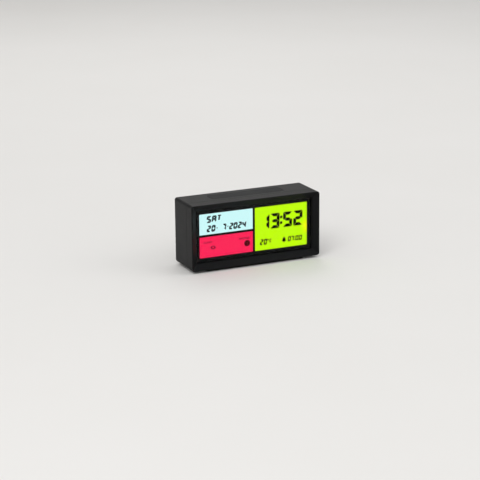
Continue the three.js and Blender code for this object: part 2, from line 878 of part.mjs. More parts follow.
// Button with its lip behind the back wall and its stem in the switch
function keyCap() {
  const outline = ring(buttonWidth, buttonHeight, buttonCornerRadius, 0, 0);
  const cap = slab(outline, flangeFront, capFace, capEdge);
  const lip = 2 * (fitGap + flangeReach);
  const lipOutline = ring(buttonWidth + lip, buttonHeight + lip, buttonCornerRadius, 0, 0);
  const stem = rodY(0, 0, flangeFront - stemLength, flangeRear, stemRadius);
  return join(cap, slab(lipOutline, flangeFront, flangeRear), stem);
}

function alarmKnob() {
  const cap = slab(
    ring(alarmKnobWidth, alarmKnobHeight, 2 * capEdge, 0, 0),
    flangeFront,
    capFace,
    capEdge,
  );
  const flange = box(
    around(0, alarmFlangeWidth),
    [flangeFront, flangeRear],
    around(0, alarmKnobHeight + 2 * (fitGap + flangeReach)),
  );
  const stem = box(
    around(0, alarmStemSize),
    [flangeFront - alarmStemLength, flangeRear],
    around(0, alarmStemSize),
  );
  return join(cap, flange, stem);
}

function alarmSwitchBody() {
  const front = keyBoardRear + sheetGap;
  const rear = front + alarmBodyDepth;
  const x = alarmX + alarmTravel / 2;
  const body = box(around(x, alarmBodyWidth), [front, rear], around(keyRowZ, alarmBodyHeight));
  const slot = box(
    around(x, alarmStemSize + alarmTravel + 2 * fitGap),
    [rear - alarmSlotDepth, rear + cutOverrun],
    around(keyRowZ, alarmStemSize + 2 * fitGap),
  );
  return cut(body, slot);
}

// Temperature sensor: a bead on two leads below the key board, behind the vents
const sensorX = keyBoardLeft + sensorFromBoardEnd;
const sensorLeadTop = keyRowZ - keyBoardHeight / 2 - sheetGap;

function thermistor() {
  const y = (keyBoardFront + keyBoardRear) / 2;
  const beadZ = sensorLeadTop - sensorLeadLength;
  const bead = new THREE.SphereGeometry(sensorBeadRadius, smallSides, springSteps);
  bead.translate(sensorX, y, beadZ);
  const leads = around(sensorX, sensorLeadSpread).map((x) => (
    rodZ(x, y, beadZ, sensorLeadTop, sensorLeadRadius, springSteps)
  ));
  return join(bead, ...leads);
}

function vents() {
  const z = sensorLeadTop - sensorLeadLength;
  const parts = [];
  for (let i = 0; i < ventCount; i += 1) {
    const x = sensorX + (i - (ventCount - 1) / 2) * ventPitch;
    parts.push(box(
      around(x, ventWidth),
      [backInside - cutOverrun, caseDepth + cutOverrun],
      around(z, ventHeight),
    ));
  }
  return parts;
}

// Battery bay in the back, right of the middle seen from the front
const bayLength = cellLength + baySpringRoom + 2 * plateThickness;
const bayHeight = cellCount * cellPitch + 2 * fitGap;
const bayRight = caseWidth / 2 - bayFromRight;
const bayX = bayRight - bayLength / 2;
const bayZ = caseBottom + bayFromBottom + bayHeight / 2;
const doorWidth = bayLength + 2 * bayRim;
const doorHeight = bayHeight + 2 * bayRim;
const doorRear = caseDepth - seatGap;
const doorFront = doorRear - doorThickness;
const doorSeat = doorFront - seatGap;
const bayFloor = doorSeat - bayFloorGap - 2 * cellRadius - fitGap;
const cellY = bayFloor + fitGap + cellRadius;
const doorNotchZ = bayZ + doorHeight / 2;

function bayWalls() {
  const tub = box(
    around(bayX, bayLength + 2 * bayWall),
    [bayFloor - bayWall, backInside + sheetGap],
    around(bayZ, bayHeight + 2 * bayWall),
  );
  const rim = box(
    around(bayX, doorWidth + 2 * bayRimReach),
    [doorSeat - bayRimThickness, backInside + sheetGap],
    around(bayZ, doorHeight + 2 * bayRimReach),
  );
  return [tub, rim];
}

function bayCuts() {
  const room = box(
    around(bayX, bayLength),
    [bayFloor, caseDepth + cutOverrun],
    around(bayZ, bayHeight),
  );
  const doorRoom = slab(
    ring(doorWidth + 2 * fitGap, doorHeight + 2 * fitGap, doorCornerRadius, bayX, bayZ),
    doorSeat,
    caseDepth + cutOverrun,
  );
  const notch = box(
    around(bayX, doorNotchWidth),
    [doorSeat, caseDepth + cutOverrun],
    around(doorNotchZ, 2 * doorNotchHeight),
  );
  const slots = doorLegs().map(([x, z, width]) => box(
    around(x, width + 2 * fitGap),
    [doorSeat - bayRimThickness - cutOverrun, caseDepth],
    around(z, doorTabThickness + 2 * fitGap),
  ));
  return [room, doorRoom, notch, ...slots];
}

// Legs of the door, each with its width and length: two tabs below the bay and a latch above it
function doorLegs() {
  const fromMiddle = bayHeight / 2 + (bayRim + bayWall) / 2;
  const tabs = around(bayX, doorTabSpacing).map((x) => (
    [x, bayZ - fromMiddle, doorTabWidth, doorTabLength]
  ));
  return [...tabs, [bayX, bayZ + fromMiddle, doorLatchWidth, doorLatchLength]];
}

// Door with its legs in slots in the rim of the bay
function batteryDoor() {
  const plate = slab(
    ring(doorWidth, doorHeight, doorCornerRadius, bayX, bayZ),
    doorFront,
    doorRear,
    capEdge,
  );
  const grip = box(
    around(bayX, doorNotchWidth - 2 * fitGap),
    [doorFront, doorRear],
    [bayZ, doorNotchZ + doorNotchHeight / 2],
  );
  const legs = doorLegs().map(([x, z, width, length]) => box(
    around(x, width),
    [doorFront - length, doorFront + capEdge],
    around(z, doorTabThickness),
  ));
  return join(plate, grip, ...legs);
}

function battery(index) {
  const forward = index % 2 === 0 ? 1 : -1;
  const z = bayZ + (index - (cellCount - 1) / 2) * cellPitch;
  const profile = [
    [0, 0],
    [cellRadius - capEdge, 0],
    [cellRadius, capEdge],
    [cellRadius, cellLength - cellNubLength - capEdge],
    [cellRadius - capEdge, cellLength - cellNubLength],
    [cellNubRadius, cellLength - cellNubLength],
    [cellNubRadius, cellLength],
    [0, cellLength],
  ].map(([x, y]) => new THREE.Vector2(x, y));
  const geometry = new THREE.LatheGeometry(profile, roundSides);
  geometry.rotateZ(-forward * Math.PI / 2);
  const nubEnd = bayX + forward * (bayLength / 2 - plateThickness - 2 * seatGap);
  geometry.translate(nubEnd - forward * cellLength, cellY, z);
  return geometry;
}

// Spring plates at the ends of the cells: each covers one cell or bridges two
function contact(side, first, last, springCell) {
  const outer = bayX + side * (bayLength / 2 - seatGap);
  const inner = outer - side * plateThickness;
  const low = bayZ + (first - (cellCount - 1) / 2) * cellPitch - plateSize / 2;
  const high = bayZ + (last - (cellCount - 1) / 2) * cellPitch + plateSize / 2;
  const plate = box(
    [Math.min(outer, inner), Math.max(outer, inner)],
    around(cellY, plateSize),
    [low, high],
  );
  if (springCell === null) return plate;
  const height = baySpringRoom - 2 * seatGap - fitGap + batterySpringSink;
  const spring = coil(height, batterySpringRadius, batterySpringTipRadius, batterySpringWire,
    batterySpringTurns, 'battery spring');
  spring.rotateY(-side * Math.PI / 2);
  const z = bayZ + (springCell - (cellCount - 1) / 2) * cellPitch;
  spring.translate(inner + side * batterySpringSink, cellY, z);
  return join(plate, spring);
}

// Buzzer disc on a ring behind the sound holes
const buzzerX = caseWidth / 2 - buzzerFromRight;
const buzzerRoomBottom = bayZ + doorHeight / 2 + bayRimReach;
const buzzerRoomTop = caseTop - housingWall;
const buzzerZ = (buzzerRoomBottom + buzzerRoomTop) / 2;
const piezoRadius = (buzzerRoomTop - buzzerRoomBottom) * piezoRoomShare / 2;
const ceramicRadius = piezoRadius * ceramicShare;
const soundHolePitch = piezoRadius * soundHolePitchShare;
const buzzerRingFront = backInside - buzzerRingHeight;
const piezoFront = buzzerRingFront - seatGap - piezoThickness;
const ceramicFront = piezoFront - ceramicThickness;

function piezoDisc() {
  return join(
    rodY(buzzerX, buzzerZ, piezoFront, piezoFront + piezoThickness, piezoRadius, roundSides),
    rodY(buzzerX, buzzerZ, ceramicFront, piezoFront + solderSink, ceramicRadius, roundSides),
  );
}

function soundHoles() {
  const parts = [];
  for (let row = 0; row <= soundHoleRings; row += 1) {
    const count = row === 0 ? 1 : holesPerRing * row;
    for (let i = 0; i < count; i += 1) {
      const angle = 2 * Math.PI * i / count;
      const x = buzzerX + row * soundHolePitch * Math.cos(angle);
      const z = buzzerZ + row * soundHolePitch * Math.sin(angle);
      parts.push(rodY(x, z, backInside - cutOverrun, caseDepth + cutOverrun, soundHoleRadius, springSteps));
    }
  }
  return parts;
}

function buzzerRing() {
  const outer = piezoRadius - fitGap;
  return cut(
    rodY(buzzerX, buzzerZ, buzzerRingFront, backInside + sheetGap, outer, roundSides),
    rodY(buzzerX, buzzerZ, buzzerRingFront - cutOverrun, backInside + cutOverrun,
      outer - buzzerRingWall, roundSides),
  );
}

// Snooze bar in the top, on a switch and two coil springs
const snoozeRoom = caseDepth - bezelDepth;
const snoozeMiddle = bezelDepth + snoozeRoom * snoozeMiddleShare;
const snoozeDepth = snoozeRoom * snoozeDepthShare;
const snoozeBoardDepth = snoozeDepth - 2 * snoozeBoardInset;
const snoozeBottom = caseTop - snoozeHeight;
const snoozeCeiling = caseTop - snoozeSkin;
const snoozeStemEnd = snoozeCeiling - snoozeStemLength;
const snoozeSwitchTop = snoozeCeiling - snoozeStemShow;
const snoozeBoardTop = snoozeSwitchTop - snoozeSwitchHeight;
const snoozeBoardBottom = snoozeBoardTop - boardThickness;
const snoozeBoardWidth = snoozeWidth + 2 * snoozeBoardOverhang;

function snoozeBossPlaces() {
  return [-1, 1].map((side) => side * (snoozeBoardWidth / 2 - snoozeBossInset));
}

// Rounded rectangle in plan, pushed up from one height to another
function topSlab(width, depth, radius, bottom, top, edge = 0) {
  const geometry = slab(ring(width, depth, radius, 0, 0), bottom, top, edge);
  geometry.rotateX(Math.PI / 2);
  geometry.translate(0, snoozeMiddle, 0);
  return geometry;
}

function snoozeBar() {
  const body = topSlab(snoozeWidth, snoozeDepth, snoozeCornerRadius, snoozeBottom, caseTop, capEdge);
  const lip = topSlab(
    snoozeWidth + 2 * snoozeLip,
    snoozeDepth + 2 * snoozeLip,
    snoozeCornerRadius,
    snoozeBottom,
    snoozeBottom + snoozeLipHeight,
  );
  const room = topSlab(
    snoozeWidth - 2 * snoozeSkirt,
    snoozeDepth - 2 * snoozeSkirt,
    snoozeCornerRadius - snoozeSkirt,
    snoozeBottom - cutOverrun,
    snoozeCeiling,
  );
  const stem = rodZ(0, snoozeMiddle, snoozeStemEnd, snoozeCeiling + capEdge, snoozeStemRadius);
  const pegs = around(0, snoozeSpringSpacing).map((x) => (
    rodZ(x, snoozeMiddle, snoozeCeiling - springPegLength, snoozeCeiling + capEdge, springPegRadius)
  ));
  return join(cut(join(body, lip), room), stem, ...pegs);
}

function snoozeSpring(side) {
  const height = snoozeCeiling - snoozeBoardTop - 2 * seatGap;
  const spring = coil(height, snoozeSpringRadius, snoozeSpringRadius, snoozeSpringWire,
    snoozeSpringTurns, 'snooze spring');
  return spring.translate(side * snoozeSpringSpacing / 2, snoozeMiddle, snoozeBoardTop + seatGap);
}

// Snooze board with its switch, bored for the bar's stem
function snoozeBoard() {
  const plate = box(
    around(0, snoozeBoardWidth),
    around(snoozeMiddle, snoozeBoardDepth),
    [snoozeBoardBottom, snoozeBoardTop],
  );
  const body = box(
    around(0, snoozeSwitchSize),
    around(snoozeMiddle, snoozeSwitchSize),
    [snoozeBoardTop - solderSink, snoozeSwitchTop],
  );
  const boreBottom = snoozeStemEnd - snoozeTravel - stemClearance;
  const bore = rodZ(0, snoozeMiddle, boreBottom, snoozeSwitchTop + cutOverrun,
    snoozeStemRadius + stemClearance);
  const holes = snoozeBossPlaces().map((x) => rodZ(x, snoozeMiddle, snoozeBoardBottom - cutOverrun,
    snoozeBoardTop + cutOverrun, stakeRadius + stakeClearance));
  return cut(join(plate, body), bore, ...holes);
}

// Power inlet on a small board above the case floor
const inletX = -caseWidth / 2 + inletFromLeft;
const caseFloor = caseBottom + housingWall;
const powerBoardBottom = caseFloor + powerBoardLift;
const powerBoardTop = powerBoardBottom + boardThickness;
const inletBottom = powerBoardTop + sheetGap;
const inletZ = inletBottom + inletBodyHeight / 2;
const inletBodyRear = backInside - fitGap;
const inletBodyFront = inletBodyRear - inletBodyDepth;
const inletFace = caseDepth - fitGap;
const powerBoardRear = inletBodyRear - fitGap;
const powerBoardFront = powerBoardRear - powerBoardDepth;

function powerPostPlaces() {
  const y = powerBoardRear - powerBoardDepth / 2;
  return around(inletX, powerBoardWidth - 2 * powerPostRadius).map((x) => [x, y]);
}

function dcSocket() {
  const body = box(
    around(inletX, inletBodyWidth),
    [inletBodyFront, inletBodyRear],
    [inletBottom, inletBottom + inletBodyHeight],
  );
  const nose = rodY(inletX, inletZ, inletBodyRear - cutOverrun, inletFace, inletNoseRadius, roundSides);
  const bore = rodY(inletX, inletZ, inletFace - inletBoreDepth, inletFace + cutOverrun,
    inletBoreRadius, roundSides);
  const pin = rodY(inletX, inletZ, inletFace - inletBoreDepth - cutOverrun, inletFace - inletPinShort,
    inletPinRadius);
  return join(cut(join(body, nose), bore), pin);
}

function powerBoard() {
  const plate = box(
    around(inletX, powerBoardWidth),
    [powerBoardFront, powerBoardRear],
    [powerBoardBottom, powerBoardTop],
  );
  return cut(plate, ...powerPostPlaces().map(([x, y]) => (
    rodZ(x, y, powerBoardBottom - cutOverrun, powerBoardTop + cutOverrun, stakeRadius + stakeClearance)
  )));
}

// Rear housing: walls, back, screw pads, board posts, battery bay and all its openings
function rearHousing() {
  const front = bezelDepth + seamGap;
  const outer = loft([
    { depth: front, points: ring(caseWidth, caseHeight, caseCornerRadius) },
    ...Array.from({ length: rearFilletSteps + 1 }, (unused, step) => {
      const angle = step / rearFilletSteps * Math.PI / 2;
      const inset = rearFillet * (1 - Math.cos(angle));
      return {
        depth: caseDepth - rearFillet * (1 - Math.sin(angle)),
        points: ring(caseWidth - 2 * inset, caseHeight - 2 * inset, caseCornerRadius - inset),
      };
    }),
  ]);
  const room = slab(
    ring(housingInnerWidth, housingInnerHeight, caseCornerRadius - housingWall),
    front - cutOverrun,
    backInside,
  );
  const keyPad = slab(
    ring(keyRecessWidth + 2 * keyRecessWall, keyRecessHeight + 2 * keyRecessWall,
      keyRecessRadius, keyRecessX, keyRowZ),
    keyRecessInside,
    backInside + sheetGap,
  );
  const screwPads = postPlaces().map(([x, z]) => (
    rodY(x, z, postTop + seatGap, backInside + sheetGap, postRadius)
  ));
  const keyPosts = keyPostPlaces().map(([x, z]) => (
    rodY(x, z, keyBoardRear + sheetGap, backInside + sheetGap, keyPostRadius)
  ));
  const snoozeBosses = snoozeBossPlaces().map((x) => (
    rodZ(x, snoozeMiddle, snoozeBoardTop + sheetGap, caseTop - housingWall + sheetGap, snoozeBossRadius)
  ));
  const powerPosts = powerPostPlaces().map(([x, y]) => (
    rodZ(x, y, caseFloor - sheetGap, powerBoardBottom - sheetGap, powerPostRadius)
  ));
  const stakes = [
    ...keyPostPlaces().map(([x, z]) => (
      rodY(x, z, keyBoardFront - stakeProud, keyBoardRear + cutOverrun, stakeRadius)
    )),
    ...snoozeBossPlaces().map((x) => rodZ(x, snoozeMiddle, snoozeBoardBottom - stakeProud,
      snoozeBoardTop + cutOverrun, stakeRadius)),
    ...powerPostPlaces().map(([x, y]) => rodZ(x, y, powerBoardBottom - cutOverrun,
      powerBoardTop + stakeProud, stakeRadius)),
  ];
  const keyRecess = slab(
    ring(keyRecessWidth, keyRecessHeight, keyRecessRadius, keyRecessX, keyRowZ),
    keyRecessFloor,
    caseDepth + cutOverrun,
  );
  const capHoles = buttonX.map((x) => slab(
    ring(buttonWidth + 2 * fitGap, buttonHeight + 2 * fitGap, buttonCornerRadius, x, keyRowZ),
    keyRecessInside - cutOverrun,
    caseDepth,
  ));
  const alarmHole = box(
    around(alarmX + alarmTravel / 2, alarmKnobWidth + alarmTravel + 2 * fitGap),
    [keyRecessInside - cutOverrun, caseDepth],
    around(keyRowZ, alarmKnobHeight + 2 * fitGap),
  );
  const screwSinks = postPlaces().flatMap(([x, z]) => [
    rodY(x, z, caseDepth - caseScrewSinkDepth, caseDepth + cutOverrun,
      caseScrewHeadRadius + fitGap, roundSides),
    rodY(x, z, postTop - cutOverrun, caseDepth, caseScrewRadius + fitGap),
  ]);
  const barHole = topSlab(
    snoozeWidth + 2 * fitGap,
    snoozeDepth + 2 * fitGap,
    snoozeCornerRadius,
    snoozeBottom,
    caseTop + cutOverrun,
  );
  const inletHole = rodY(inletX, inletZ, backInside - cutOverrun, caseDepth + cutOverrun,
    inletNoseRadius + fitGap, roundSides);
  const shell = cut(outer, room);
  const added = [keyPad, ...screwPads, ...keyPosts, ...snoozeBosses, ...powerPosts, ...stakes];
  const whole = join(shell, ...added, buzzerRing(), ...bayWalls());
  return cut(whole, keyRecess, ...capHoles, alarmHole, ...screwSinks, barHole, inletHole,
    ...soundHoles(), ...vents(), ...bayCuts(), ...footPockets());
}

function rubberFoot(y) {
  return footShape(y, footWidth, footDepth, 0, caseBottom + footSink - sheetGap);
}

// Cables inside the case, straight out of their sockets at both ends
function cable(start, startWay, end, endWay, outline, ...between) {
  const points = [
    start,
    start.clone().addScaledVector(startWay, wireExit),
    ...between,
    end.clone().addScaledVector(endWay, wireExit),
    end,
  ];
  const extrudePath = new THREE.CatmullRomCurve3(points);
  return new THREE.ExtrudeGeometry(outline, { steps: wireSteps, extrudePath, bevelEnabled: false });
}

const backward = new THREE.Vector3(0, 1, 0);
const forwardWay = new THREE.Vector3(0, -1, 0);
const leftWay = new THREE.Vector3(-1, 0, 0);
const rightWay = new THREE.Vector3(1, 0, 0);
const downWay = new THREE.Vector3(0, 0, -1);

// Section of a round wire, and of two wires side by side
function cableOutline(width, height) {
  const points = ring(width, height, Math.min(width, height) / 2, 0, 0, smallCornerSteps);
  return new THREE.Shape(points.filter((point, i) => i === 0 || !point.equals(points[i - 1])));
}

function twinOutline() {
  return cableOutline(twinThickness, twinWidth);
}

function socketPin(shares, offset = 0) {
  const [x, z] = boardPlace(shares);
  return new THREE.Vector3(x + offset, socketRear + seatGap, z);
}

function batteryWire(side) {
  const row = side > 0 ? cellCount - 1 : 0;
  const end = new THREE.Vector3(
    bayX + side * (bayLength / 2 + bayWall + seatGap),
    cellY,
    bayZ + (row - (cellCount - 1) / 2) * cellPitch,
  );
  const start = socketPin(batterySocketShares, side * socketPinSpacing / 2);
  const outline = cableOutline(2 * wireRadius, 2 * wireRadius);
  if (side < 0) return cable(start, backward, end, leftWay, outline);
  const pastBay = new THREE.Vector3(
    end.x + bayWall,
    bayFloor - bayWall - wireExit,
    end.z,
  );
  return cable(start, backward, end, rightWay, outline, pastBay);
}

function buzzerCable() {
  const end = new THREE.Vector3(buzzerX, ceramicFront - seatGap, buzzerZ);
  return cable(socketPin(buzzerSocketShares), backward, end, forwardWay, twinOutline());
}

function powerCable() {
  const end = new THREE.Vector3(
    inletX,
    powerBoardFront - seatGap,
    (powerBoardBottom + powerBoardTop) / 2,
  );
  return cable(socketPin(powerSocketShares), backward, end, forwardWay, twinOutline());
}

function snoozeCable() {
  const end = new THREE.Vector3(snoozeSwitchSize, snoozeMiddle, snoozeBoardBottom - seatGap);
  return cable(socketPin(snoozeSocketShares), backward, end, downWay, twinOutline());
}

// Flat cable from the main board to the key board: an S in the YZ plane, with even thickness
function keyRibbon() {
  const [x, z] = boardPlace(keySocketShares);
  const endZ = keyRowZ;
  const curve = new THREE.CubicBezierCurve(
    new THREE.Vector2(socketRear + seatGap, z),
    new THREE.Vector2((socketRear + keyBoardFront) / 2, z),
    new THREE.Vector2((socketRear + keyBoardFront) / 2, endZ),
    new THREE.Vector2(keyBoardFront - seatGap, endZ),
  );
  const upper = [];
  const lower = [];
  for (let i = 0; i <= smallSides; i += 1) {
    const at = curve.getPoint(i / smallSides);
    const along = curve.getTangent(i / smallSides);
    const offset = new THREE.Vector2(-along.y, along.x).multiplyScalar(ribbonThickness / 2);
    upper.push(at.clone().add(offset));
    lower.unshift(at.clone().sub(offset));
  }
  const geometry = new THREE.ExtrudeGeometry(new THREE.Shape([...upper, ...lower]), {
    depth: ribbonWidth,
    bevelEnabled: false,
  });
  geometry.applyMatrix4(new THREE.Matrix4().set(
    0, 0, 1, x - ribbonWidth / 2,
    1, 0, 0, 0,
    0, 1, 0, 0,
    0, 0, 0, 1,
  ));
  return geometry;
}

// Assembly, from the front to the back
place('front_bezel', frontBezel(), materials.caseBlack);
place('display_window', slab(windowOutline(), windowFront, windowFront + windowThickness),
  materials.clearWindow);
place('window_print', windowPrint(), materials.printBlack);
place('polarizer_front', sheet(displayWidth + 2 * polarizerMargin,
  middle - displayHeight / 2 - polarizerMargin, middle + displayHeight / 2 + polarizerMargin,
  frontPolarizerFront, polarizerThickness), materials.polarizer);
place('lcd_glass_front', sheet(glassWidth, frontGlassBottom, glassTop, frontGlassFront, glassThickness),
  materials.glass);
place('lcd_glass_rear', sheet(glassWidth, rearGlassBottom, glassTop, rearGlassFront, glassThickness),
  materials.glass);
place('polarizer_rear', sheet(displayWidth + 2 * polarizerMargin,
  middle - displayHeight / 2 - polarizerMargin, middle + displayHeight / 2 + polarizerMargin,
  rearPolarizerFront, polarizerThickness), materials.polarizer);
place('colour_film_white', colourFilm(-backlightWidth / 2, -sheetGap, middle + sheetGap, backlightTop),
  materials.filmWhite);
place('colour_film_pink', colourFilm(-backlightWidth / 2, -sheetGap, backlightBottom, middle - sheetGap),
  materials.filmPink);
place('colour_film_green', colourFilm(sheetGap, backlightWidth / 2, backlightBottom, backlightTop),
  materials.filmGreen);
place('diffuser_sheet', sheet(backlightWidth, backlightBottom, backlightTop, diffuserFront,
  diffuserThickness), materials.whitePlastic);
place('light_guide', sheet(backlightWidth, backlightBottom, backlightTop, lightGuideFront,
  lightGuideThickness), materials.lightGuide);
place('reflector_sheet', sheet(backlightWidth, backlightBottom, backlightTop, reflectorFront,
  reflectorThickness), materials.whitePlastic);
place('led_bar', ledBar(), materials.filmWhite);
place('zebra_strip', box(around(0, zebraWidth), [rearFrontGlass + sheetGap, mainBoardFront - sheetGap],
  around(zebraZ, zebraThickness)), materials.elastomer);
place('lcd_holder', lcdHolder(), materials.whitePlastic);

place('main_board', mainBoard(), materials.board);
place('controller_blob', controllerBlob(), materials.epoxy);
place('crystal_can', crystalCan(), materials.steel);
place('filter_capacitor', filterCapacitor(), materials.epoxy);
holderBossPlaces().forEach((at, i) => {
  place(`board_screw_${i + 1}`, boardScrew(at), materials.steel);
});

place('key_board', keyBoard(), materials.board);
buttonNames.forEach((name, i) => {
  place(`button_${name}`, keyCap(), materials.keyBlack).position.set(buttonX[i], 0, keyRowZ);
});
place('alarm_switch_body', alarmSwitchBody(), materials.epoxy);
place('alarm_switch_knob', alarmKnob(), materials.keyBlack).position.set(alarmX, 0, keyRowZ);
place('thermistor', thermistor(), materials.epoxy);
place('key_ribbon', keyRibbon(), materials.ribbonGrey);

place('piezo_disc', piezoDisc(), materials.brass);

place('snooze_bar', snoozeBar(), materials.keyBlack);
place('snooze_board', snoozeBoard(), materials.board);
place('snooze_spring_left', snoozeSpring(-1), materials.steel);
place('snooze_spring_right', snoozeSpring(1), materials.steel);

place('rear_housing', rearHousing(), materials.caseBlack);
for (let i = 0; i < cellCount; i += 1) {
  place(`battery_${i + 1}`, battery(i), materials.cellWrap);
}
place('contact_negative', contact(-1, 0, 0, 0), materials.steel);
place('contact_bridge_right', contact(1, 0, 1, 1), materials.steel);
place('contact_bridge_left', contact(-1, 1, 2, 2), materials.steel);
place('contact_positive', contact(1, 2, 2, null), materials.steel);
place('battery_door', batteryDoor(), materials.caseBlack);
place('battery_wire_red', batteryWire(1), materials.wireRed);
place('battery_wire_black', batteryWire(-1), materials.wireBlack);
place('buzzer_cable', buzzerCable(), materials.wireBlack);
place('power_cable', powerCable(), materials.wireBlack);
place('snooze_cable', snoozeCable(), materials.wireBlack);
place('power_board', powerBoard(), materials.board);
place('dc_socket', dcSocket(), materials.epoxy);
postPlaces().forEach((at, i) => {
  place(`case_screw_${i + 1}`, caseScrew(at), materials.steel);
});
footPlaces().forEach((y, i) => {
  place(`rubber_foot_${['front', 'rear'][i]}`, rubberFoot(y), materials.rubber);
});

export default clock;
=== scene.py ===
import math

import bmesh
import bpy
import numpy as np
from mathutils import Matrix


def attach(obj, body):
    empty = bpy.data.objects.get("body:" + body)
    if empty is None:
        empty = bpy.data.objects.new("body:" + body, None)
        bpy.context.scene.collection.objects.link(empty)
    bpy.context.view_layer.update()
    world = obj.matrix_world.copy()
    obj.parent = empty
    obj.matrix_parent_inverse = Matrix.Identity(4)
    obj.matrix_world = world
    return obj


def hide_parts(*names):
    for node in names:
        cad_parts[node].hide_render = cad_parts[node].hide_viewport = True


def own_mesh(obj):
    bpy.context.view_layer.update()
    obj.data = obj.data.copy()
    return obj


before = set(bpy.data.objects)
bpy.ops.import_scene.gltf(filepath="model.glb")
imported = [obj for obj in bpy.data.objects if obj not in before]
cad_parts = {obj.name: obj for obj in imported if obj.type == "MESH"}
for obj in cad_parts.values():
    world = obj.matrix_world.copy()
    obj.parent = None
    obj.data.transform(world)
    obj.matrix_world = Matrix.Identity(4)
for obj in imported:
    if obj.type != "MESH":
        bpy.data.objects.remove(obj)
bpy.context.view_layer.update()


# Case: front moulding, rear housing and battery door in injection-moulded ABS, black right
# through. The mould is spark-eroded, so the faces carry a fine even grain that spreads the
# highlights, and every corner is slightly rounded where the tool was polished.
MM = 0.001
FLOW_PATCH = 45
FLOW_SHARE = 0.12
PLASTIC_SHINE = 0.12


def linear(hex_colour):
    """sRGB hex to linear light: c / 12.92 up to 0.04045, else ((c + 0.055) / 1.055) ** 2.4."""
    parts = np.array([int(hex_colour[i:i + 2], 16) for i in (1, 3, 5)]) / 255
    curved = ((parts + 0.055) / 1.055) ** 2.4
    return (*np.where(parts <= 0.04045, parts / 12.92, curved).tolist(), 1)


def add(tree, kind, settings=None, sockets=None, links=None):
    """One node: settings are its properties, sockets its values, links name (node, output)."""
    node = tree.nodes.new(kind)
    for name, value in (settings or {}).items():
        setattr(node, name, value)
    for name, value in (sockets or {}).items():
        node.inputs[name].default_value = value
    for name, (source, output) in (links or {}).items():
        tree.links.new(source.outputs[output], node.inputs[name])
    return node


def feed(node, name, origin):
    """Links origin, a (node, output), to the input of that name of a node that exists."""
    source, output = origin
    node.id_data.links.new(source.outputs[output], node.inputs[name])


def open_material(name):
    """A new material with its tree, its Principled shader and Object coordinates."""
    material = bpy.data.materials.new(name)
    material.use_nodes = True
    tree = material.node_tree
    return material, tree, tree.nodes["Principled BSDF"], add(tree, "ShaderNodeTexCoord")


def per_mm(size):
    """Texture scale at which one cell of the pattern is size millimetres."""
    return 1 / (size * MM)


def blend_colour(tree, factor, low, high):
    """Colour low where factor is 0 and high where it is 1; each is a hex value or (node, output).
    The blend comes back as (node, output) too."""
    ends = {"A": low, "B": high}
    fixed = {key: linear(end) for key, end in ends.items() if isinstance(end, str)}
    links = {key: end for key, end in ends.items() if isinstance(end, tuple)}
    mix = add(tree, "ShaderNodeMix", {"data_type": "RGBA"}, fixed, {"Factor": factor, **links})
    return mix, "Result"


def moulded_plastic(name, low, high, roughness, grain, relief, edge):
    """Moulded plastic.

    Colour runs from low to high with slow noise of FLOW_PATCH, as the melt flowed.
    Roughness is its value times (1 +- FLOW_SHARE) with the same noise.
    Height is relief times noise of one grain, over edges rounded by edge.
    """
    material, tree, shader, place = open_material(name)
    flow = add(tree, "ShaderNodeTexNoise", None,
               {"Scale": per_mm(FLOW_PATCH), "Detail": 4}, {"Vector": (place, "Object")})
    feed(shader, "Base Color", blend_colour(tree, (flow, "Fac"), low, high))
    spread = add(tree, "ShaderNodeMapRange", None,
                 {"To Min": roughness * (1 - FLOW_SHARE), "To Max": roughness * (1 + FLOW_SHARE)},
                 {"Value": (flow, "Fac")})
    feed(shader, "Roughness", (spread, "Result"))
    grains = add(tree, "ShaderNodeTexNoise", None,
                 {"Scale": per_mm(grain), "Detail": 2}, {"Vector": (place, "Object")})
    rounded = add(tree, "ShaderNodeBevel", {"samples": 6}, {"Radius": edge * MM})
    bump = add(tree, "ShaderNodeBump", None, {"Distance": relief * MM},
               {"Height": (grains, "Fac"), "Normal": (rounded, "Normal")})
    feed(shader, "Normal", (bump, "Normal"))
    shader.inputs["Specular IOR Level"].default_value = PLASTIC_SHINE
    return material


def finish(material, *names):
    """Gives these CAD nodes the material."""
    for name in names:
        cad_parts[name].material_slots[0].material = material


# The eroded grain is 0.2 mm in life and is drawn three times as coarse, so that it shows.
abs_black = moulded_plastic("moulded_abs_black", "#0A0B0C", "#0E0F10",
                            roughness=0.44, grain=0.6, relief=0.07, edge=0.45)
finish(abs_black, "front_bezel", "rear_housing", "battery_door")


# Snooze bar, keys and slide knob: moulded ABS with a soft satin lacquer, a shade greyer than
# the case, that hides the grain and dulls the shine where fingers go.
satin_abs = moulded_plastic("lacquered_abs_satin", "#121314", "#17181A",
                            roughness=0.56, grain=0.9, relief=0.008, edge=0.3)
finish(satin_abs, "snooze_bar", "button_mode", "button_set", "button_up", "button_down",
       "alarm_switch_knob")


# Rubber feet: strips moulded in black rubber and pushed into shallow pockets under the case.
# They are matt, with talc left in the pores, which are drawn coarser than life so that they show.
rubber = moulded_plastic("moulded_rubber_matt", "#141414", "#232322",
                         roughness=0.82, grain=0.5, relief=0.03, edge=0.3)
finish(rubber, "rubber_foot_front", "rubber_foot_rear")


# Window: cast acrylic, hard-coated so that it turns back little light, with the frame printed
# on its back in black ink. The ink shows through the sheet as an even, deep black.
SHEET_ROUGHNESS = 0.06
COATED_SHINE = (0.006, 1)
GLANCE_POWER = 5
SMEAR_PATCH = 20
INK_BLOTCH = 6
INK_MESH = 0.4
INK_RELIEF = 0.004
INK_SHINE = 0.05


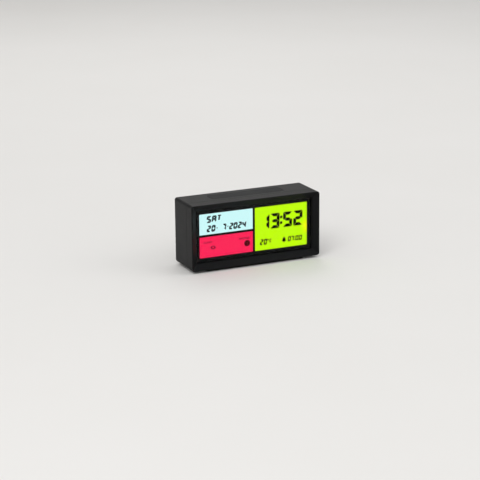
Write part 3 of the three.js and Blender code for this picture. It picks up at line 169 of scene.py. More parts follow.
def clear_sheet(name, shine):
    """Clear sheet: light passes straight through, but for a share that the surface turns back.

    The share runs from the first of shine, straight on, to the second at a glancing angle, by
    1 - cosine to the power GLANCE_POWER. The roughness varies by a third over SMEAR_PATCH.
    """
    material, tree, shader, place = open_material(name)
    tree.nodes.remove(shader)
    smear = add(tree, "ShaderNodeTexNoise", None,
                {"Scale": per_mm(SMEAR_PATCH), "Detail": 3}, {"Vector": (place, "Object")})
    spread = add(tree, "ShaderNodeMapRange", None,
                 {"To Min": SHEET_ROUGHNESS * 2 / 3, "To Max": SHEET_ROUGHNESS * 4 / 3},
                 {"Value": (smear, "Fac")})
    through = add(tree, "ShaderNodeBsdfTransparent")
    gloss = add(tree, "ShaderNodeBsdfGlossy", None, None, {"Roughness": (spread, "Result")})
    slant = add(tree, "ShaderNodeLayerWeight", None, {"Blend": 0.5})
    steep = add(tree, "ShaderNodeMath", {"operation": "POWER"}, {1: GLANCE_POWER},
                {0: (slant, "Facing")})
    share = add(tree, "ShaderNodeMapRange", None, {"To Min": shine[0], "To Max": shine[1]},
                {"Value": (steep, "Value")})
    sheet = add(tree, "ShaderNodeMixShader", None, None,
                {0: (share, "Result"), 1: (through, "BSDF"), 2: (gloss, "BSDF")})
    feed(tree.nodes["Material Output"], "Surface", (sheet, "Shader"))
    return material


def printed_ink(name, low, high, roughness):
    """Screen-printed ink: colour from low to high over blotches, and height by noise of the
    screen's mesh, which is drawn coarser than life so that it shows."""
    material, tree, shader, place = open_material(name)
    blotch = add(tree, "ShaderNodeTexNoise", None,
                 {"Scale": per_mm(INK_BLOTCH), "Detail": 3}, {"Vector": (place, "Object")})
    feed(shader, "Base Color", blend_colour(tree, (blotch, "Fac"), low, high))
    mesh_marks = add(tree, "ShaderNodeTexNoise", None,
                     {"Scale": per_mm(INK_MESH), "Detail": 1}, {"Vector": (place, "Object")})
    bump = add(tree, "ShaderNodeBump", None, {"Distance": INK_RELIEF * MM},
               {"Height": (mesh_marks, "Fac")})
    feed(shader, "Normal", (bump, "Normal"))
    shader.inputs["Roughness"].default_value = roughness
    shader.inputs["Specular IOR Level"].default_value = INK_SHINE
    return material


acrylic = clear_sheet("coated_acrylic_clear", COATED_SHINE)
black_ink = printed_ink("screen_ink_black", "#040405", "#070708", roughness=0.4)
finish(acrylic, "display_window")
finish(black_ink, "window_print")


# LCD cell: two panes of float glass sealed at the edge, with a polarizing film laminated to
# each outer face. Laminated faces turn back next to no light, so only the window shines.
BONDED_SHINE = (0.0004, 0.05)

glass = clear_sheet("float_glass_thin", BONDED_SHINE)
polarizing_film = clear_sheet("polarizing_film_laminated", BONDED_SHINE)
finish(glass, "lcd_glass_front", "lcd_glass_rear")
finish(polarizing_film, "polarizer_front", "polarizer_rear")


# Colour films and the liquid crystal over them: dyed films under the cell give each field its
# colour, lit from behind by a row of lamps along the top. The crystal layer in front passes
# that light, so it is the layer the eye sees; the green field is yellower at its right edge.
FIELD_WHITE = "#CDFAFA"
FIELD_PINK = "#FB2357"
FIELD_GREEN = "#C1FC05"
WARM_YELLOW = "#FCFB06"
DISPLAY_LEFT = -71.7
DISPLAY_RIGHT = 71.7
DISPLAY_BOTTOM = 16.3
DISPLAY_TOP = 70.5
DISPLAY_MIDDLE = (DISPLAY_BOTTOM + DISPLAY_TOP) / 2
UNDER_PRINT = 1.15
HALF_SEAM = 0.05
FIELD_CORNER = 0.8
FIELD_FRONT = -17.16
FIELD_BACK = -17.13
WARM_SPOT_X = 73.5
WARM_SPOT_Z = 39.9
WARM_SPOT_HALF_WIDTH = 10.5
WARM_SPOT_HALF_HEIGHT = 12
WARM_SPOT_PEAK = 1.1
CLOUD_PATCH = 30
CLOUD_SHARE = 0.06


def lit_film(name, hex_colour, deeper, spot=None):
    """Film lit from behind, which swallows the light that falls on it.

    The light it gives is the colour, nearer to deeper by up to CLOUD_SHARE with slow noise.
    A spot (colour, x, z, half width, half height) blends in a colour of its own: the blend is
    WARM_SPOT_PEAK times the way in from the oval's edge to its middle, and at most 1.
    """
    material, tree, shader, place = open_material(name)
    cloud = add(tree, "ShaderNodeTexNoise", None,
                {"Scale": per_mm(CLOUD_PATCH), "Detail": 2}, {"Vector": (place, "Object")})
    share = add(tree, "ShaderNodeMapRange", None, {"To Min": 0, "To Max": CLOUD_SHARE},
                {"Value": (cloud, "Fac")})
    colour = blend_colour(tree, (share, "Result"), hex_colour, deeper)
    if spot:
        tint, x, z, half_width, half_height = spot
        centred = add(tree, "ShaderNodeMapping", {"vector_type": "TEXTURE"},
                      {"Location": (x * MM, 0, z * MM),
                       "Scale": (half_width * MM, 1, half_height * MM)},
                      {"Vector": (place, "Object")})
        away = add(tree, "ShaderNodeVectorMath", {"operation": "LENGTH"}, None,
                   {0: (centred, "Vector")})
        near = add(tree, "ShaderNodeMapRange", None,
                   {"From Min": 1, "From Max": 0, "To Min": 0, "To Max": WARM_SPOT_PEAK},
                   {"Value": (away, "Value")})
        colour = blend_colour(tree, (near, "Result"), colour, tint)
    feed(shader, "Emission Color", colour)
    shader.inputs["Emission Strength"].default_value = 1
    shader.inputs["Base Color"].default_value = linear("#000000")
    shader.inputs["Specular IOR Level"].default_value = 0
    return material


def plates(outlines, front, back):
    """Flat plates: each outline (points, x and z) stands at depths front and back, joined by a
    quad along every edge. Outlines that run clockwise are turned, so that faces point out."""
    outlines = np.array(outlines, float)
    ahead = np.roll(outlines, -1, axis=1)
    twice_area = outlines[..., 0] * ahead[..., 1] - ahead[..., 0] * outlines[..., 1]
    clockwise = twice_area.sum(axis=1) < 0
    outlines[clockwise] = outlines[clockwise, ::-1]
    count, points, _ = outlines.shape
    xyz = np.empty((count, 2, points, 3))
    xyz[..., 0] = outlines[:, None, :, 0]
    xyz[..., 1] = np.array([front, back])[None, :, None]
    xyz[..., 2] = outlines[:, None, :, 1]
    first = (np.arange(count) * 2 * points)[:, None]
    ring = np.arange(points)
    after = np.roll(ring, -1)
    sides = np.stack([ring, ring + points, after + points, after], axis=-1)
    faces = (first + ring).tolist() + (first + points + ring[::-1]).tolist()
    faces += (first[..., None] + sides).reshape(-1, 4).tolist()
    return xyz.reshape(-1, 3), faces


def make_piece(name, shapes, material, body="clock_body"):
    """One mesh from several shapes (points in mm, faces), placed in the frame on its body."""
    starts = np.cumsum([0] + [len(points) for points, _ in shapes])
    points = np.concatenate([points for points, _ in shapes]) * MM
    faces = [[int(i) + int(start) for i in face]
             for start, (_, shape) in zip(starts, shapes) for face in shape]
    mesh = bpy.data.meshes.new(name)
    mesh.from_pydata(points.tolist(), [], faces)
    mesh.update()
    mesh.materials.append(material)
    piece = bpy.data.objects.new(name, mesh)
    bpy.context.scene.collection.objects.link(piece)
    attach(piece, body)
    return piece


def field_outline(left, right, bottom, top, radius, steps=4):
    """Rounded rectangle: quarter circles of the radius about its four inset corners."""
    turn = np.linspace(0, math.pi / 2, steps)
    corners = [(right, top, 0), (left, top, 1), (left, bottom, 2), (right, bottom, 3)]
    inset = np.array([[1, 1], [-1, 1], [-1, -1], [1, -1]]) * radius
    return np.concatenate([
        np.array([x, z]) - inset[quarter]
        + radius * np.stack([np.cos(turn + quarter * math.pi / 2),
                             np.sin(turn + quarter * math.pi / 2)], axis=-1)
        for x, z, quarter in corners])


lit_white = lit_film("dyed_film_white_lit", FIELD_WHITE, "#BDF2F6")
lit_pink = lit_film("dyed_film_pink_lit", FIELD_PINK, "#F21A50")
lit_green = lit_film("dyed_film_green_lit", FIELD_GREEN, "#B4F400",
                     (WARM_YELLOW, WARM_SPOT_X, WARM_SPOT_Z, WARM_SPOT_HALF_WIDTH,
                      WARM_SPOT_HALF_HEIGHT))
outer_left = DISPLAY_LEFT - UNDER_PRINT
outer_right = DISPLAY_RIGHT + UNDER_PRINT
outer_bottom = DISPLAY_BOTTOM - UNDER_PRINT
outer_top = DISPLAY_TOP + UNDER_PRINT
over_seam = DISPLAY_MIDDLE + HALF_SEAM
under_seam = DISPLAY_MIDDLE - HALF_SEAM
for name, material, slot, edges in (
    ("white", lit_white, "film_white", (outer_left, -HALF_SEAM, over_seam, outer_top)),
    ("pink", lit_pink, "film_pink", (outer_left, -HALF_SEAM, outer_bottom, under_seam)),
    ("green", lit_green, "film_green", (HALF_SEAM, outer_right, outer_bottom, outer_top)),
):
    field = plates([field_outline(*edges, FIELD_CORNER)], FIELD_FRONT, FIELD_BACK)
    make_piece(f"crystal_layer_{name}", [field], material)
    finish(material, f"colour_film_{name}")


# Seam mask: black lines printed in the cell over the seams of the colour films, so that no
# light of one field shows at the edge of the next. They reach a little past the window's print.
MASK_FRONT = -17.18
MASK_BACK = -17.17
MASK_CORNER = 0.1
MASK_GAP = 0.01
SEAM_LEFT = -0.95
SEAM_RIGHT = 2.0
SEAM_BELOW = 1.8
SEAM_ABOVE = 1.1

upright_seam = (SEAM_LEFT, SEAM_RIGHT, outer_bottom, outer_top)
level_seam = (outer_left, SEAM_LEFT - MASK_GAP,
              DISPLAY_MIDDLE - SEAM_BELOW, DISPLAY_MIDDLE + SEAM_ABOVE)
seams = [field_outline(*edges, MASK_CORNER) for edges in (upright_seam, level_seam)]
mask_ink = printed_ink("screen_ink_mask", "#040405", "#070708", roughness=0.6)
make_piece("seam_mask", [plates(seams, MASK_FRONT, MASK_BACK)], mask_ink)


# Digits and letters of the LCD: patterned electrodes turn the crystal dark in the shape of each
# segment. A little of the field's light still leaks through, so they are never quite black.
# Each figure stands in a cell of its own, with corners cut off and the segments set apart.
DIGIT_FRONT = -17.24
DIGIT_BACK = -17.2
SEGMENTS = {
    "0": "abcdef", "1": "bc", "2": "abdeg", "3": "abcdg", "4": "bcfg", "5": "acdfg",
    "7": "abc", "S": "acdfg", "A": "abcefg", "T": "ail", "C": "adef",
}


def figure(letter, left, bottom, width, height, stroke, corner, gap, lean):
    """Outlines of a letter's segments, six points each.

    The bars are cut at 45 degrees where they meet and set apart by gap; a corner is cut off by
    its share of the stroke. Three bars and a post are drawn, and the others are these turned
    over: sideways for b, upside down for d, e and l, and both for c. Every point then moves
    sideways by its height over the middle times tan(lean).
    """
    middle = height / 2
    half = stroke / 2
    cut = stroke * corner
    near = (cut + gap) / 2
    far = (cut - gap) / 2
    flat = width - stroke - gap
    start = middle + gap / 2
    rise = start + half
    top = np.array([
        (near, height - far), (cut, height), (width - cut, height), (width - near, height - far),
        (flat, height - stroke), (stroke + gap, height - stroke)])
    side = np.array([
        (0, height - cut), (far, height - near), (stroke, height - stroke - gap), (stroke, rise),
        (half, start), (0, start)])
    bar = np.array([
        (half + gap, middle), (stroke + gap, middle + half), (flat, middle + half),
        (width - half - gap, middle), (flat, middle - half), (stroke + gap, middle - half)])
    centre = width / 2
    post = np.array([
        (centre - half, height - stroke - gap), (centre + half, height - stroke - gap),
        (centre + half, start), (centre, start), (centre - half, start),
        (centre - half, (height - stroke + start) / 2)])
    sideways = np.array([-1, 1])
    upside_down = np.array([1, -1])
    shapes = {
        "a": top, "f": side, "g": bar, "i": post,
        "b": (width, 0) + sideways * side,
        "c": (width, height) - side,
        "d": (0, height) + upside_down * top,
        "e": (0, height) + upside_down * side,
        "l": (0, height) + upside_down * post,
    }
    outlines = np.array([shapes[segment] for segment in SEGMENTS[letter]])
    outlines[..., 0] += left + (outlines[..., 1] - middle) * math.tan(math.radians(lean))
    outlines[..., 1] += bottom
    return outlines


def figures(text, centres, bottom, width, height, stroke, corner, gap, lean):
    """The segments of a row of figures, each centred on its own place."""
    return np.concatenate([
        figure(letter, x - width / 2, bottom, width, height, stroke, corner, gap, lean)
        for letter, x in zip(text, centres)])


def dot(x, z, size):
    """Outline of a square dot, two corners cut by a quarter: six points, to match a segment."""
    edge = size / 2
    cut = size / 4
    return np.array([(x - edge, z - edge), (x + edge - cut, z - edge), (x + edge, z - edge + cut),
                     (x + edge, z + edge), (x - edge + cut, z + edge), (x - edge, z + edge - cut)])


def crystal_figures(name, outlines, material):
    """A group of dark segments in the gap of the cell."""
    make_piece(name, [plates(outlines, DIGIT_FRONT, DIGIT_BACK)], material)


dark_on_white = lit_film("liquid_crystal_dark_on_white", "#0B1A22", "#08151C")
dark_on_green = lit_film("liquid_crystal_dark_on_green", "#030A01", "#020700")
crystal_figures("lcd_day", figures(
    "SAT", (-58.6, -51.8, -45.3), bottom=58.8, width=5.9, height=8.4,
    stroke=2.25, corner=0.5, gap=0.08, lean=8), dark_on_white)
crystal_figures("lcd_date", np.concatenate([
    figures("2072024", (-58.8, -52.8, -38.7, -29.5, -23.9, -18.2, -12.5), bottom=47.4,
            width=5.1, height=8.1, stroke=2.15, corner=0.5, gap=0.08, lean=8),
    [dot(-48.2, 51.4, size=1.3), dot(-33.9, 51.7, size=1.3)]]), dark_on_white)
crystal_figures("lcd_time", np.concatenate([
    figures("1352", (15.2, 28.9, 46.0, 60.0), bottom=41.6, width=12.3, height=18.9,
            stroke=3.9, corner=0.33, gap=0.2, lean=1.5),
    [dot(37.4, 54.8, size=3.2), dot(37.2, 47.6, size=3.2)]]), dark_on_green)
crystal_figures("lcd_alarm_time", np.concatenate([
    figures("0700", (48.5, 52.5, 58.7, 63.5), bottom=22.6, width=4.1, height=6.4,
            stroke=1.55, corner=0.5, gap=0.07, lean=7),
    [dot(55.7, 26.95, size=0.85), dot(55.5, 24.25, size=0.85)]]), dark_on_green)
crystal_figures("lcd_temperature", np.concatenate([
    figures("20", (10.8, 15.9), bottom=22.45, width=4.2, height=7.3,
            stroke=1.7, corner=0.5, gap=0.07, lean=8),
    figures("C", (22.9,), bottom=24.7, width=3.0, height=4.4,
            stroke=1.3, corner=0.5, gap=0.06, lean=8)]), dark_on_green)


# Signs on the LCD: a bell beside the alarm time, a degree ring, a loop with two arrow heads for
# the daily alarm and a round spot for the snooze. On pink the crystal lets more light by.
# A shape that overlaps its neighbour ends at a depth of its own.
OVERLAP_BACK = DIGIT_BACK - 0.005
BELL_X = 41.1
BELL_CROWN = 0.42
BELL_SWELL = 0.36
BELL_WALL = 0.7
BELL_LIP = 0.76
LOOP_X = -53.6
LOOP_Z = 27.6
LOOP_REACH = 2.3
SPOT_X = -8.6
SPOT_Z = 27.45


def hoop(x, z, outer, inner, sides, stretch=1):
    """Flat ring: the section (outer front, outer back, inner back, inner front) carried round a
    circle, with both ends joined; stretch widens it sideways to an oval."""
    turn = np.arange(sides) * 2 * math.pi / sides
    radius = np.array([outer, outer, inner, inner])
    depth = np.array([DIGIT_FRONT, DIGIT_BACK, DIGIT_BACK, DIGIT_FRONT])
    xyz = np.empty((sides, 4, 3))
    xyz[..., 0] = x + stretch * np.cos(turn)[:, None] * radius
    xyz[..., 1] = depth
    xyz[..., 2] = z + np.sin(turn)[:, None] * radius
    i, j = np.meshgrid(np.arange(sides), np.arange(4), indexing="ij")
    ahead, beside = (i + 1) % sides, (j + 1) % 4
    faces = np.stack([4 * i + j, 4 * i + beside, 4 * ahead + beside, 4 * ahead + j], axis=-1)
    return xyz.reshape(-1, 3), faces.reshape(-1, 4).tolist()


def disc(x, z, radius, sides):
    """Outline of a round spot."""
    turn = np.arange(sides) * 2 * math.pi / sides
    return np.stack([x + radius * np.cos(turn), z + radius * np.sin(turn)], axis=-1)


def arrow_head(x, z, half_width, height):
    """Outline of a triangle with its foot centred on a point; a negative height points down."""
    return np.array([(x - half_width, z), (x + half_width, z), (x, z + height)])


def bell(x, bottom, width, height):
    """Outline of a bell. As a share of half the width it is BELL_CROWN plus BELL_SWELL times
    the square root of the way down, as far as BELL_WALL, and 1 from BELL_LIP to the foot."""
    down = np.concatenate([np.linspace(0, BELL_WALL, 7), [BELL_LIP, 1]])
    half = width / 2 * np.where(down <= BELL_WALL, BELL_CROWN + BELL_SWELL * np.sqrt(down), 1)
    z = bottom + height * (1 - down)
    right = np.stack([x + half, z], axis=-1)
    left = np.stack([x - half, z], axis=-1)
    return np.concatenate([right, left[::-1]])


wine = lit_film("liquid_crystal_half_dark_on_pink", "#5C0612", "#52040F")
maroon = lit_film("liquid_crystal_dark_on_pink", "#4A020A", "#400108")
clapper = disc(BELL_X, 23.5, radius=0.9, sides=12)
crown = disc(BELL_X, 28.3, radius=0.75, sides=12)
make_piece("lcd_bell", [
    plates([bell(BELL_X, bottom=23.8, width=5.4, height=4.6)], DIGIT_FRONT, DIGIT_BACK),
    plates([clapper], DIGIT_FRONT, OVERLAP_BACK),
    plates([crown], DIGIT_FRONT, OVERLAP_BACK),
], dark_on_green)
make_piece("lcd_degree_ring", [hoop(19.5, 28.15, outer=1.05, inner=0.4, sides=16)],
           dark_on_green)
arrow_heads = [arrow_head(LOOP_X - LOOP_REACH, LOOP_Z, half_width=1.2, height=1.8),
               arrow_head(LOOP_X + LOOP_REACH, LOOP_Z, half_width=1.2, height=-1.8)]
make_piece("lcd_alarm_sign", [
    hoop(LOOP_X, LOOP_Z, outer=2.2, inner=1.3, sides=28, stretch=1.3),
    plates(arrow_heads, DIGIT_FRONT, OVERLAP_BACK),
], wine)
make_piece("lcd_snooze_spot", [hoop(SPOT_X, SPOT_Z, outer=3.85, inner=0.95, sides=36)],
           maroon)
spot_centre = disc(SPOT_X, SPOT_Z, radius=0.9, sides=20)
make_piece("lcd_snooze_spot_centre", [plates([spot_centre], DIGIT_FRONT, DIGIT_BACK)],
           wine)


# Words: small function words on the LCD over the two signs, and the white words by the keys
# and the switch in the back, put on with a soft pad from an etched plate.
ANY_DEPTH = 0.5
WELD = 0.0005
KEY_ROW = 67.3
OVER_KEYS = KEY_ROW + 4.6
RECESS_FLOOR = 25.6
PAD_THICK = 0.03
KEY_WORD_HEIGHT = 1.35
SWITCH_WORD_HEIGHT = 1.25


def lettering(name, words, width, height, x, y, z, thickness, seen_from_back, material,
              boldness=0):
    """Words as a flat mesh. The letters, grown at their edges by boldness in the font's own
    units, are stretched to width, height and thickness about their middle, then stood up: seen
    from the front x stays x, seen from the back x runs the other way. Points less than WELD
    apart become one."""
    curve = bpy.data.curves.new(name, "FONT")
    curve.body = words
    curve.extrude = ANY_DEPTH
    curve.offset = boldness
    holder = bpy.data.objects.new(name, curve)
    bpy.context.scene.collection.objects.link(holder)
    settled = holder.evaluated_get(bpy.context.evaluated_depsgraph_get())
    mesh = bpy.data.meshes.new_from_object(settled)
    bpy.data.objects.remove(holder)
    flat = np.empty(len(mesh.vertices) * 3)
    mesh.vertices.foreach_get("co", flat)
    flat = flat.reshape(-1, 3)
    low, high = flat.min(axis=0), flat.max(axis=0)
    size = np.array([width, height, thickness])
    flat = (flat - (low + high) / 2) / (high - low) * size
    side = -1 if seen_from_back else 1
    upright = np.stack([side * flat[:, 0] + x, -side * flat[:, 2] + y, flat[:, 1] + z], axis=-1)
    mesh.vertices.foreach_set("co", (upright * MM).ravel())
    whole = bmesh.new()
    whole.from_mesh(mesh)
    bmesh.ops.remove_doubles(whole, verts=whole.verts, dist=WELD * MM)
    bmesh.ops.recalc_face_normals(whole, faces=whole.faces)
    whole.to_mesh(mesh)
    whole.free()
    mesh.materials.clear()
    mesh.materials.append(material)
    piece = bpy.data.objects.new(name, mesh)
    bpy.context.scene.collection.objects.link(piece)
    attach(piece, "clock_body")


digit_depth = (DIGIT_FRONT + DIGIT_BACK) / 2
digit_thick = DIGIT_BACK - DIGIT_FRONT
lettering("lcd_word_alarm", "ALARM", width=10.8, height=2.3, x=-60.6, y=digit_depth, z=34.7,
          thickness=digit_thick, seen_from_back=False, material=wine)
lettering("lcd_word_snooze", "SNOOZE", width=13.8, height=2.4, x=-12.4, y=digit_depth, z=34.1,
          thickness=digit_thick, seen_from_back=False, material=maroon,
          boldness=0.012)
pad_white = printed_ink("pad_ink_white", "#C9CACB", "#B9BABC", roughness=0.5)
for name, words, width, height, x, z in (
    ("word_mode", "MODE", 6.2, KEY_WORD_HEIGHT, -62, OVER_KEYS),
    ("word_set", "SET", 4.2, KEY_WORD_HEIGHT, -47, OVER_KEYS),
    ("word_up", "UP", 3.0, KEY_WORD_HEIGHT, -32, OVER_KEYS),
    ("word_down", "DOWN", 6.2, KEY_WORD_HEIGHT, -17, OVER_KEYS),
    ("word_alarm", "ALARM", 7.2, KEY_WORD_HEIGHT, 4.75, OVER_KEYS),
    ("word_off", "OFF", 3.0, SWITCH_WORD_HEIGHT, -2.1, KEY_ROW),
    ("word_on", "ON", 2.4, SWITCH_WORD_HEIGHT, 11.2, KEY_ROW),
):
    lettering(name, words, width, height, x=x, y=RECESS_FLOOR, z=z, thickness=PAD_THICK,
              seen_from_back=True, material=pad_white)


# Battery door: ribs for the thumb and an arrow, raised a little from its face in the mould and
# polished there, so that they shine against the grained plastic.
DOOR_FACE = 26.7
MARK_ROOT = DOOR_FACE - 0.2
MARK_TOP = 26.78
MARK_X = 42.2
RIB_HALF_LENGTH = 5
RIB_HALF_WIDTH = 0.35
RIB_CORNER = 0.3
RIB_PLACES = (42.2, 40.6, 39)
ARROW_TIP = 37.2
ARROW_FOOT = 33.6
ARROW_HALF_WIDTH = 2.2
POLISHED_SHINE = 0.5

door_ribs = [field_outline(MARK_X - RIB_HALF_LENGTH, MARK_X + RIB_HALF_LENGTH,
                           z - RIB_HALF_WIDTH, z + RIB_HALF_WIDTH, RIB_CORNER)
             for z in RIB_PLACES]
door_arrow = arrow_head(MARK_X, ARROW_FOOT, ARROW_HALF_WIDTH, ARROW_TIP - ARROW_FOOT)
polished_abs = moulded_plastic("polished_abs_black", "#131416", "#17181A",
                               roughness=0.16, grain=3, relief=0.004, edge=0.05)
polish = polished_abs.node_tree.nodes["Principled BSDF"]
polish.inputs["Specular IOR Level"].default_value = POLISHED_SHINE
make_piece("battery_door_marks", [
    plates(door_ribs, MARK_ROOT, MARK_TOP),
    plates([door_arrow], MARK_ROOT, MARK_TOP),
], polished_abs, "battery_lid")


# Backlight: matt white sheets and an acrylic guide printed with dots that throw the lamps'
# light forward, in a moulded white tray; the lamps sit on a strip along the guide's top.
def white_sheet(name, low, high, roughness, dot_pitch, dot_share):
    """White plastic with round dots: Voronoi distance under dot_share of the pitch is high.
    The films' own dots are finer in life and drawn coarser, so that they show."""
    material, tree, shader, place = open_material(name)
    cells = add(tree, "ShaderNodeTexVoronoi", None,
                {"Scale": per_mm(dot_pitch), "Randomness": 0}, {"Vector": (place, "Object")})
    inside = add(tree, "ShaderNodeMath", {"operation": "LESS_THAN"}, {1: dot_share},
                 {0: (cells, "Distance")})
    feed(shader, "Base Color", blend_colour(tree, (inside, "Value"), low, high))
    shader.inputs["Roughness"].default_value = roughness
    return material


diffuser = white_sheet("diffuser_film_matt", "#EDEEEC", "#F4F5F3",
                       roughness=0.9, dot_pitch=0.4, dot_share=0.3)
dotted_guide = white_sheet("dotted_acrylic_guide", "#DCE9EA", "#FAFCFC",
                           roughness=0.15, dot_pitch=1.2, dot_share=0.28)
reflector = white_sheet("reflector_film_satin", "#F1F1EF", "#F6F6F5",
                        roughness=0.5, dot_pitch=0.8, dot_share=0.3)
abs_white = moulded_plastic("moulded_abs_white", "#DEDDD8", "#E6E5E1",
                            roughness=0.5, grain=0.7, relief=0.015, edge=0.3)
finish(diffuser, "diffuser_sheet")
finish(dotted_guide, "light_guide")
finish(reflector, "reflector_sheet")
finish(abs_white, "lcd_holder")


# Connector strip under the glass: silicone rubber in fine layers, every other one loaded with
# carbon, which carries each contact of the board straight across to the glass. The layers are
# 0.1 mm in life and drawn coarser, so that they show.
WAVE_PERIOD = 2 * math.pi / 20


def striped(name, low, high, pitch, share, axis, roughness):
    """Even stripes along one axis: a saw wave of the pitch, over share of it the colour high.
    The wave texture makes a period of WAVE_PERIOD at a scale of 1."""
    material, tree, shader, place = open_material(name)
    wave = add(tree, "ShaderNodeTexWave",
               {"wave_type": "BANDS", "bands_direction": axis, "wave_profile": "SAW"},
               {"Scale": WAVE_PERIOD * per_mm(pitch), "Distortion": 0},
               {"Vector": (place, "Object")})
    over = add(tree, "ShaderNodeMath", {"operation": "GREATER_THAN"}, {1: 1 - share},
               {0: (wave, "Fac")})
    feed(shader, "Base Color", blend_colour(tree, (over, "Value"), low, high))
    shader.inputs["Roughness"].default_value = roughness
    return material


layered_silicone = striped("layered_silicone", "#B9B9B4", "#1B1B1C",
                           pitch=0.5, share=0.5, axis="X", roughness=0.7)
finish(layered_silicone, "zebra_strip")


# Circuit boards: glass-epoxy laminate under green solder mask, with copper tracks that show
# as paler lines. The parts soldered on stand out of the laminate: black chips and switches,
# or white lamps with yellow phosphor on the strip above the light guide.
MASK_GREEN = "#12512F"
TRACK_GREEN = "#2F7D4B"
MASK_ROUGHNESS = 0.35
TRACK_PITCH = 2.4
TRACK_PATCH = 14
TRACK_BEND = 2.5
TRACK_CREST = (0.72, 0.8)
FACE_MARGIN = 0.02


def circuit_board(name, axis, low, high, part_low, part_high):
    """Board between two planes along an axis; beyond them the colour of the parts.

    Tracks are where a wavy band of TRACK_PITCH is near its crest. Patches of TRACK_PATCH say
    which of the board's two directions the bands run in, and shade the parts.
    """
    material, tree, shader, place = open_material(name)
    bands = []
    for direction in {"X": "YZ", "Y": "XZ", "Z": "XY"}[axis]:
        bands.append(add(tree, "ShaderNodeTexWave",
                         {"wave_type": "BANDS", "bands_direction": direction},
                         {"Scale": WAVE_PERIOD * per_mm(TRACK_PITCH), "Distortion": TRACK_BEND,
                          "Detail": 0, "Detail Scale": 0.4}, {"Vector": (place, "Object")}))
    patch = add(tree, "ShaderNodeTexNoise", None, {"Scale": per_mm(TRACK_PATCH), "Detail": 0},
                {"Vector": (place, "Object")})
    which = add(tree, "ShaderNodeMath", {"operation": "GREATER_THAN"}, {1: 0.5},
                {0: (patch, "Fac")})
    band = add(tree, "ShaderNodeMix", None, None,
               {"Factor": (which, "Value"), "A": (bands[0], "Fac"), "B": (bands[1], "Fac")})
    track = add(tree, "ShaderNodeMapRange", None,
                {"From Min": TRACK_CREST[0], "From Max": TRACK_CREST[1]},
                {"Value": (band, "Result")})
    mask = blend_colour(tree, (track, "Result"), MASK_GREEN, TRACK_GREEN)
    parts = blend_colour(tree, (patch, "Fac"), part_low, part_high)
    split = add(tree, "ShaderNodeSeparateXYZ", None, None, {"Vector": (place, "Object")})
    away = add(tree, "ShaderNodeMath", {"operation": "SUBTRACT"}, {1: (low + high) / 2 * MM},
               {0: (split, axis)})
    far = add(tree, "ShaderNodeMath", {"operation": "ABSOLUTE"}, None, {0: (away, "Value")})
    beyond = add(tree, "ShaderNodeMath", {"operation": "GREATER_THAN"},
                 {1: ((high - low) / 2 + FACE_MARGIN) * MM}, {0: (far, "Value")})
    feed(shader, "Base Color", blend_colour(tree, (beyond, "Value"), mask, parts))
    shader.inputs["Roughness"].default_value = MASK_ROUGHNESS
    return material


for node, material_name, axis, low, high, part_low, part_high in (
    ("main_board", "solder_mask_main", "Y", -9.5, -7.9, "#161616", "#2A2A2A"),
    ("key_board", "solder_mask_keys", "Y", 15.6, 17.2, "#1A1A1A", "#262626"),
    ("snooze_board", "solder_mask_snooze", "Z", 71.6, 73.2, "#1A1A1A", "#262626"),
    ("power_board", "solder_mask_power", "Z", 7.2, 8.8, "#1A1A1A", "#262626"),
    ("led_bar", "solder_mask_lamps", "Z", 72.65, 73.45, "#F0E7A8", "#F7F2D2"),
):
    finish(circuit_board(material_name, axis, low, high, part_low, part_high), node)


# Moulded epoxy parts: the blob over the controller chip, the switch and socket bodies, the
# sensor's bead and the capacitor's sleeve, dull black with a slight orange peel.
epoxy = moulded_plastic("cured_epoxy_black", "#111112", "#1B1B1D",
                        roughness=0.38, grain=1.6, relief=0.05, edge=0.2)
finish(epoxy, "controller_blob", "alarm_switch_body", "dc_socket", "thermistor",
       "filter_capacitor")


# Metal parts: case screws plated in black zinc; board screws, strip contacts, spring wire and
# the crystal's can plated in nickel, which leaves them pale and bright; the buzzer's disc of
# rolled brass. Rolling, drawing and cutting leave fine lines.
METAL_SPREAD = 0.2


def bare_metal(name, low, high, roughness, line_length, line_pitch):
    """Metal with fine lines: noise stretched from line_pitch to line_length along X drives the
    colour from low to high and the roughness by METAL_SPREAD either way."""
    material, tree, shader, place = open_material(name)
    drawn = add(tree, "ShaderNodeMapping", {"vector_type": "TEXTURE"},
                {"Scale": (line_length * MM, line_pitch * MM, line_pitch * MM)},
                {"Vector": (place, "Object")})
    lines = add(tree, "ShaderNodeTexNoise", None, {"Scale": 1, "Detail": 3},
                {"Vector": (drawn, "Vector")})
    feed(shader, "Base Color", blend_colour(tree, (lines, "Fac"), low, high))
    spread = add(tree, "ShaderNodeMapRange", None,
                 {"To Min": roughness * (1 - METAL_SPREAD),
                  "To Max": roughness * (1 + METAL_SPREAD)}, {"Value": (lines, "Fac")})
    feed(shader, "Roughness", (spread, "Result"))
    shader.inputs["Metallic"].default_value = 1
    return material


black_zinc = bare_metal("zinc_plated_steel_black", "#35363A", "#4B4C50",
                        roughness=0.42, line_length=0.8, line_pitch=0.3)
nickel = bare_metal("nickel_plated_steel", "#B9B6AE", "#D2CFC8",
                    roughness=0.28, line_length=3, line_pitch=0.25)
brass = bare_metal("rolled_brass", "#B8954A", "#D3B36A",
                   roughness=0.3, line_length=4, line_pitch=0.3)
finish(black_zinc, *[f"case_screw_{i}" for i in range(1, 5)])
finish(nickel, *[f"board_screw_{i}" for i in range(1, 5)], "contact_negative",
       "contact_bridge_left", "contact_bridge_right", "contact_positive", "crystal_can")
finish(brass, "piezo_disc")


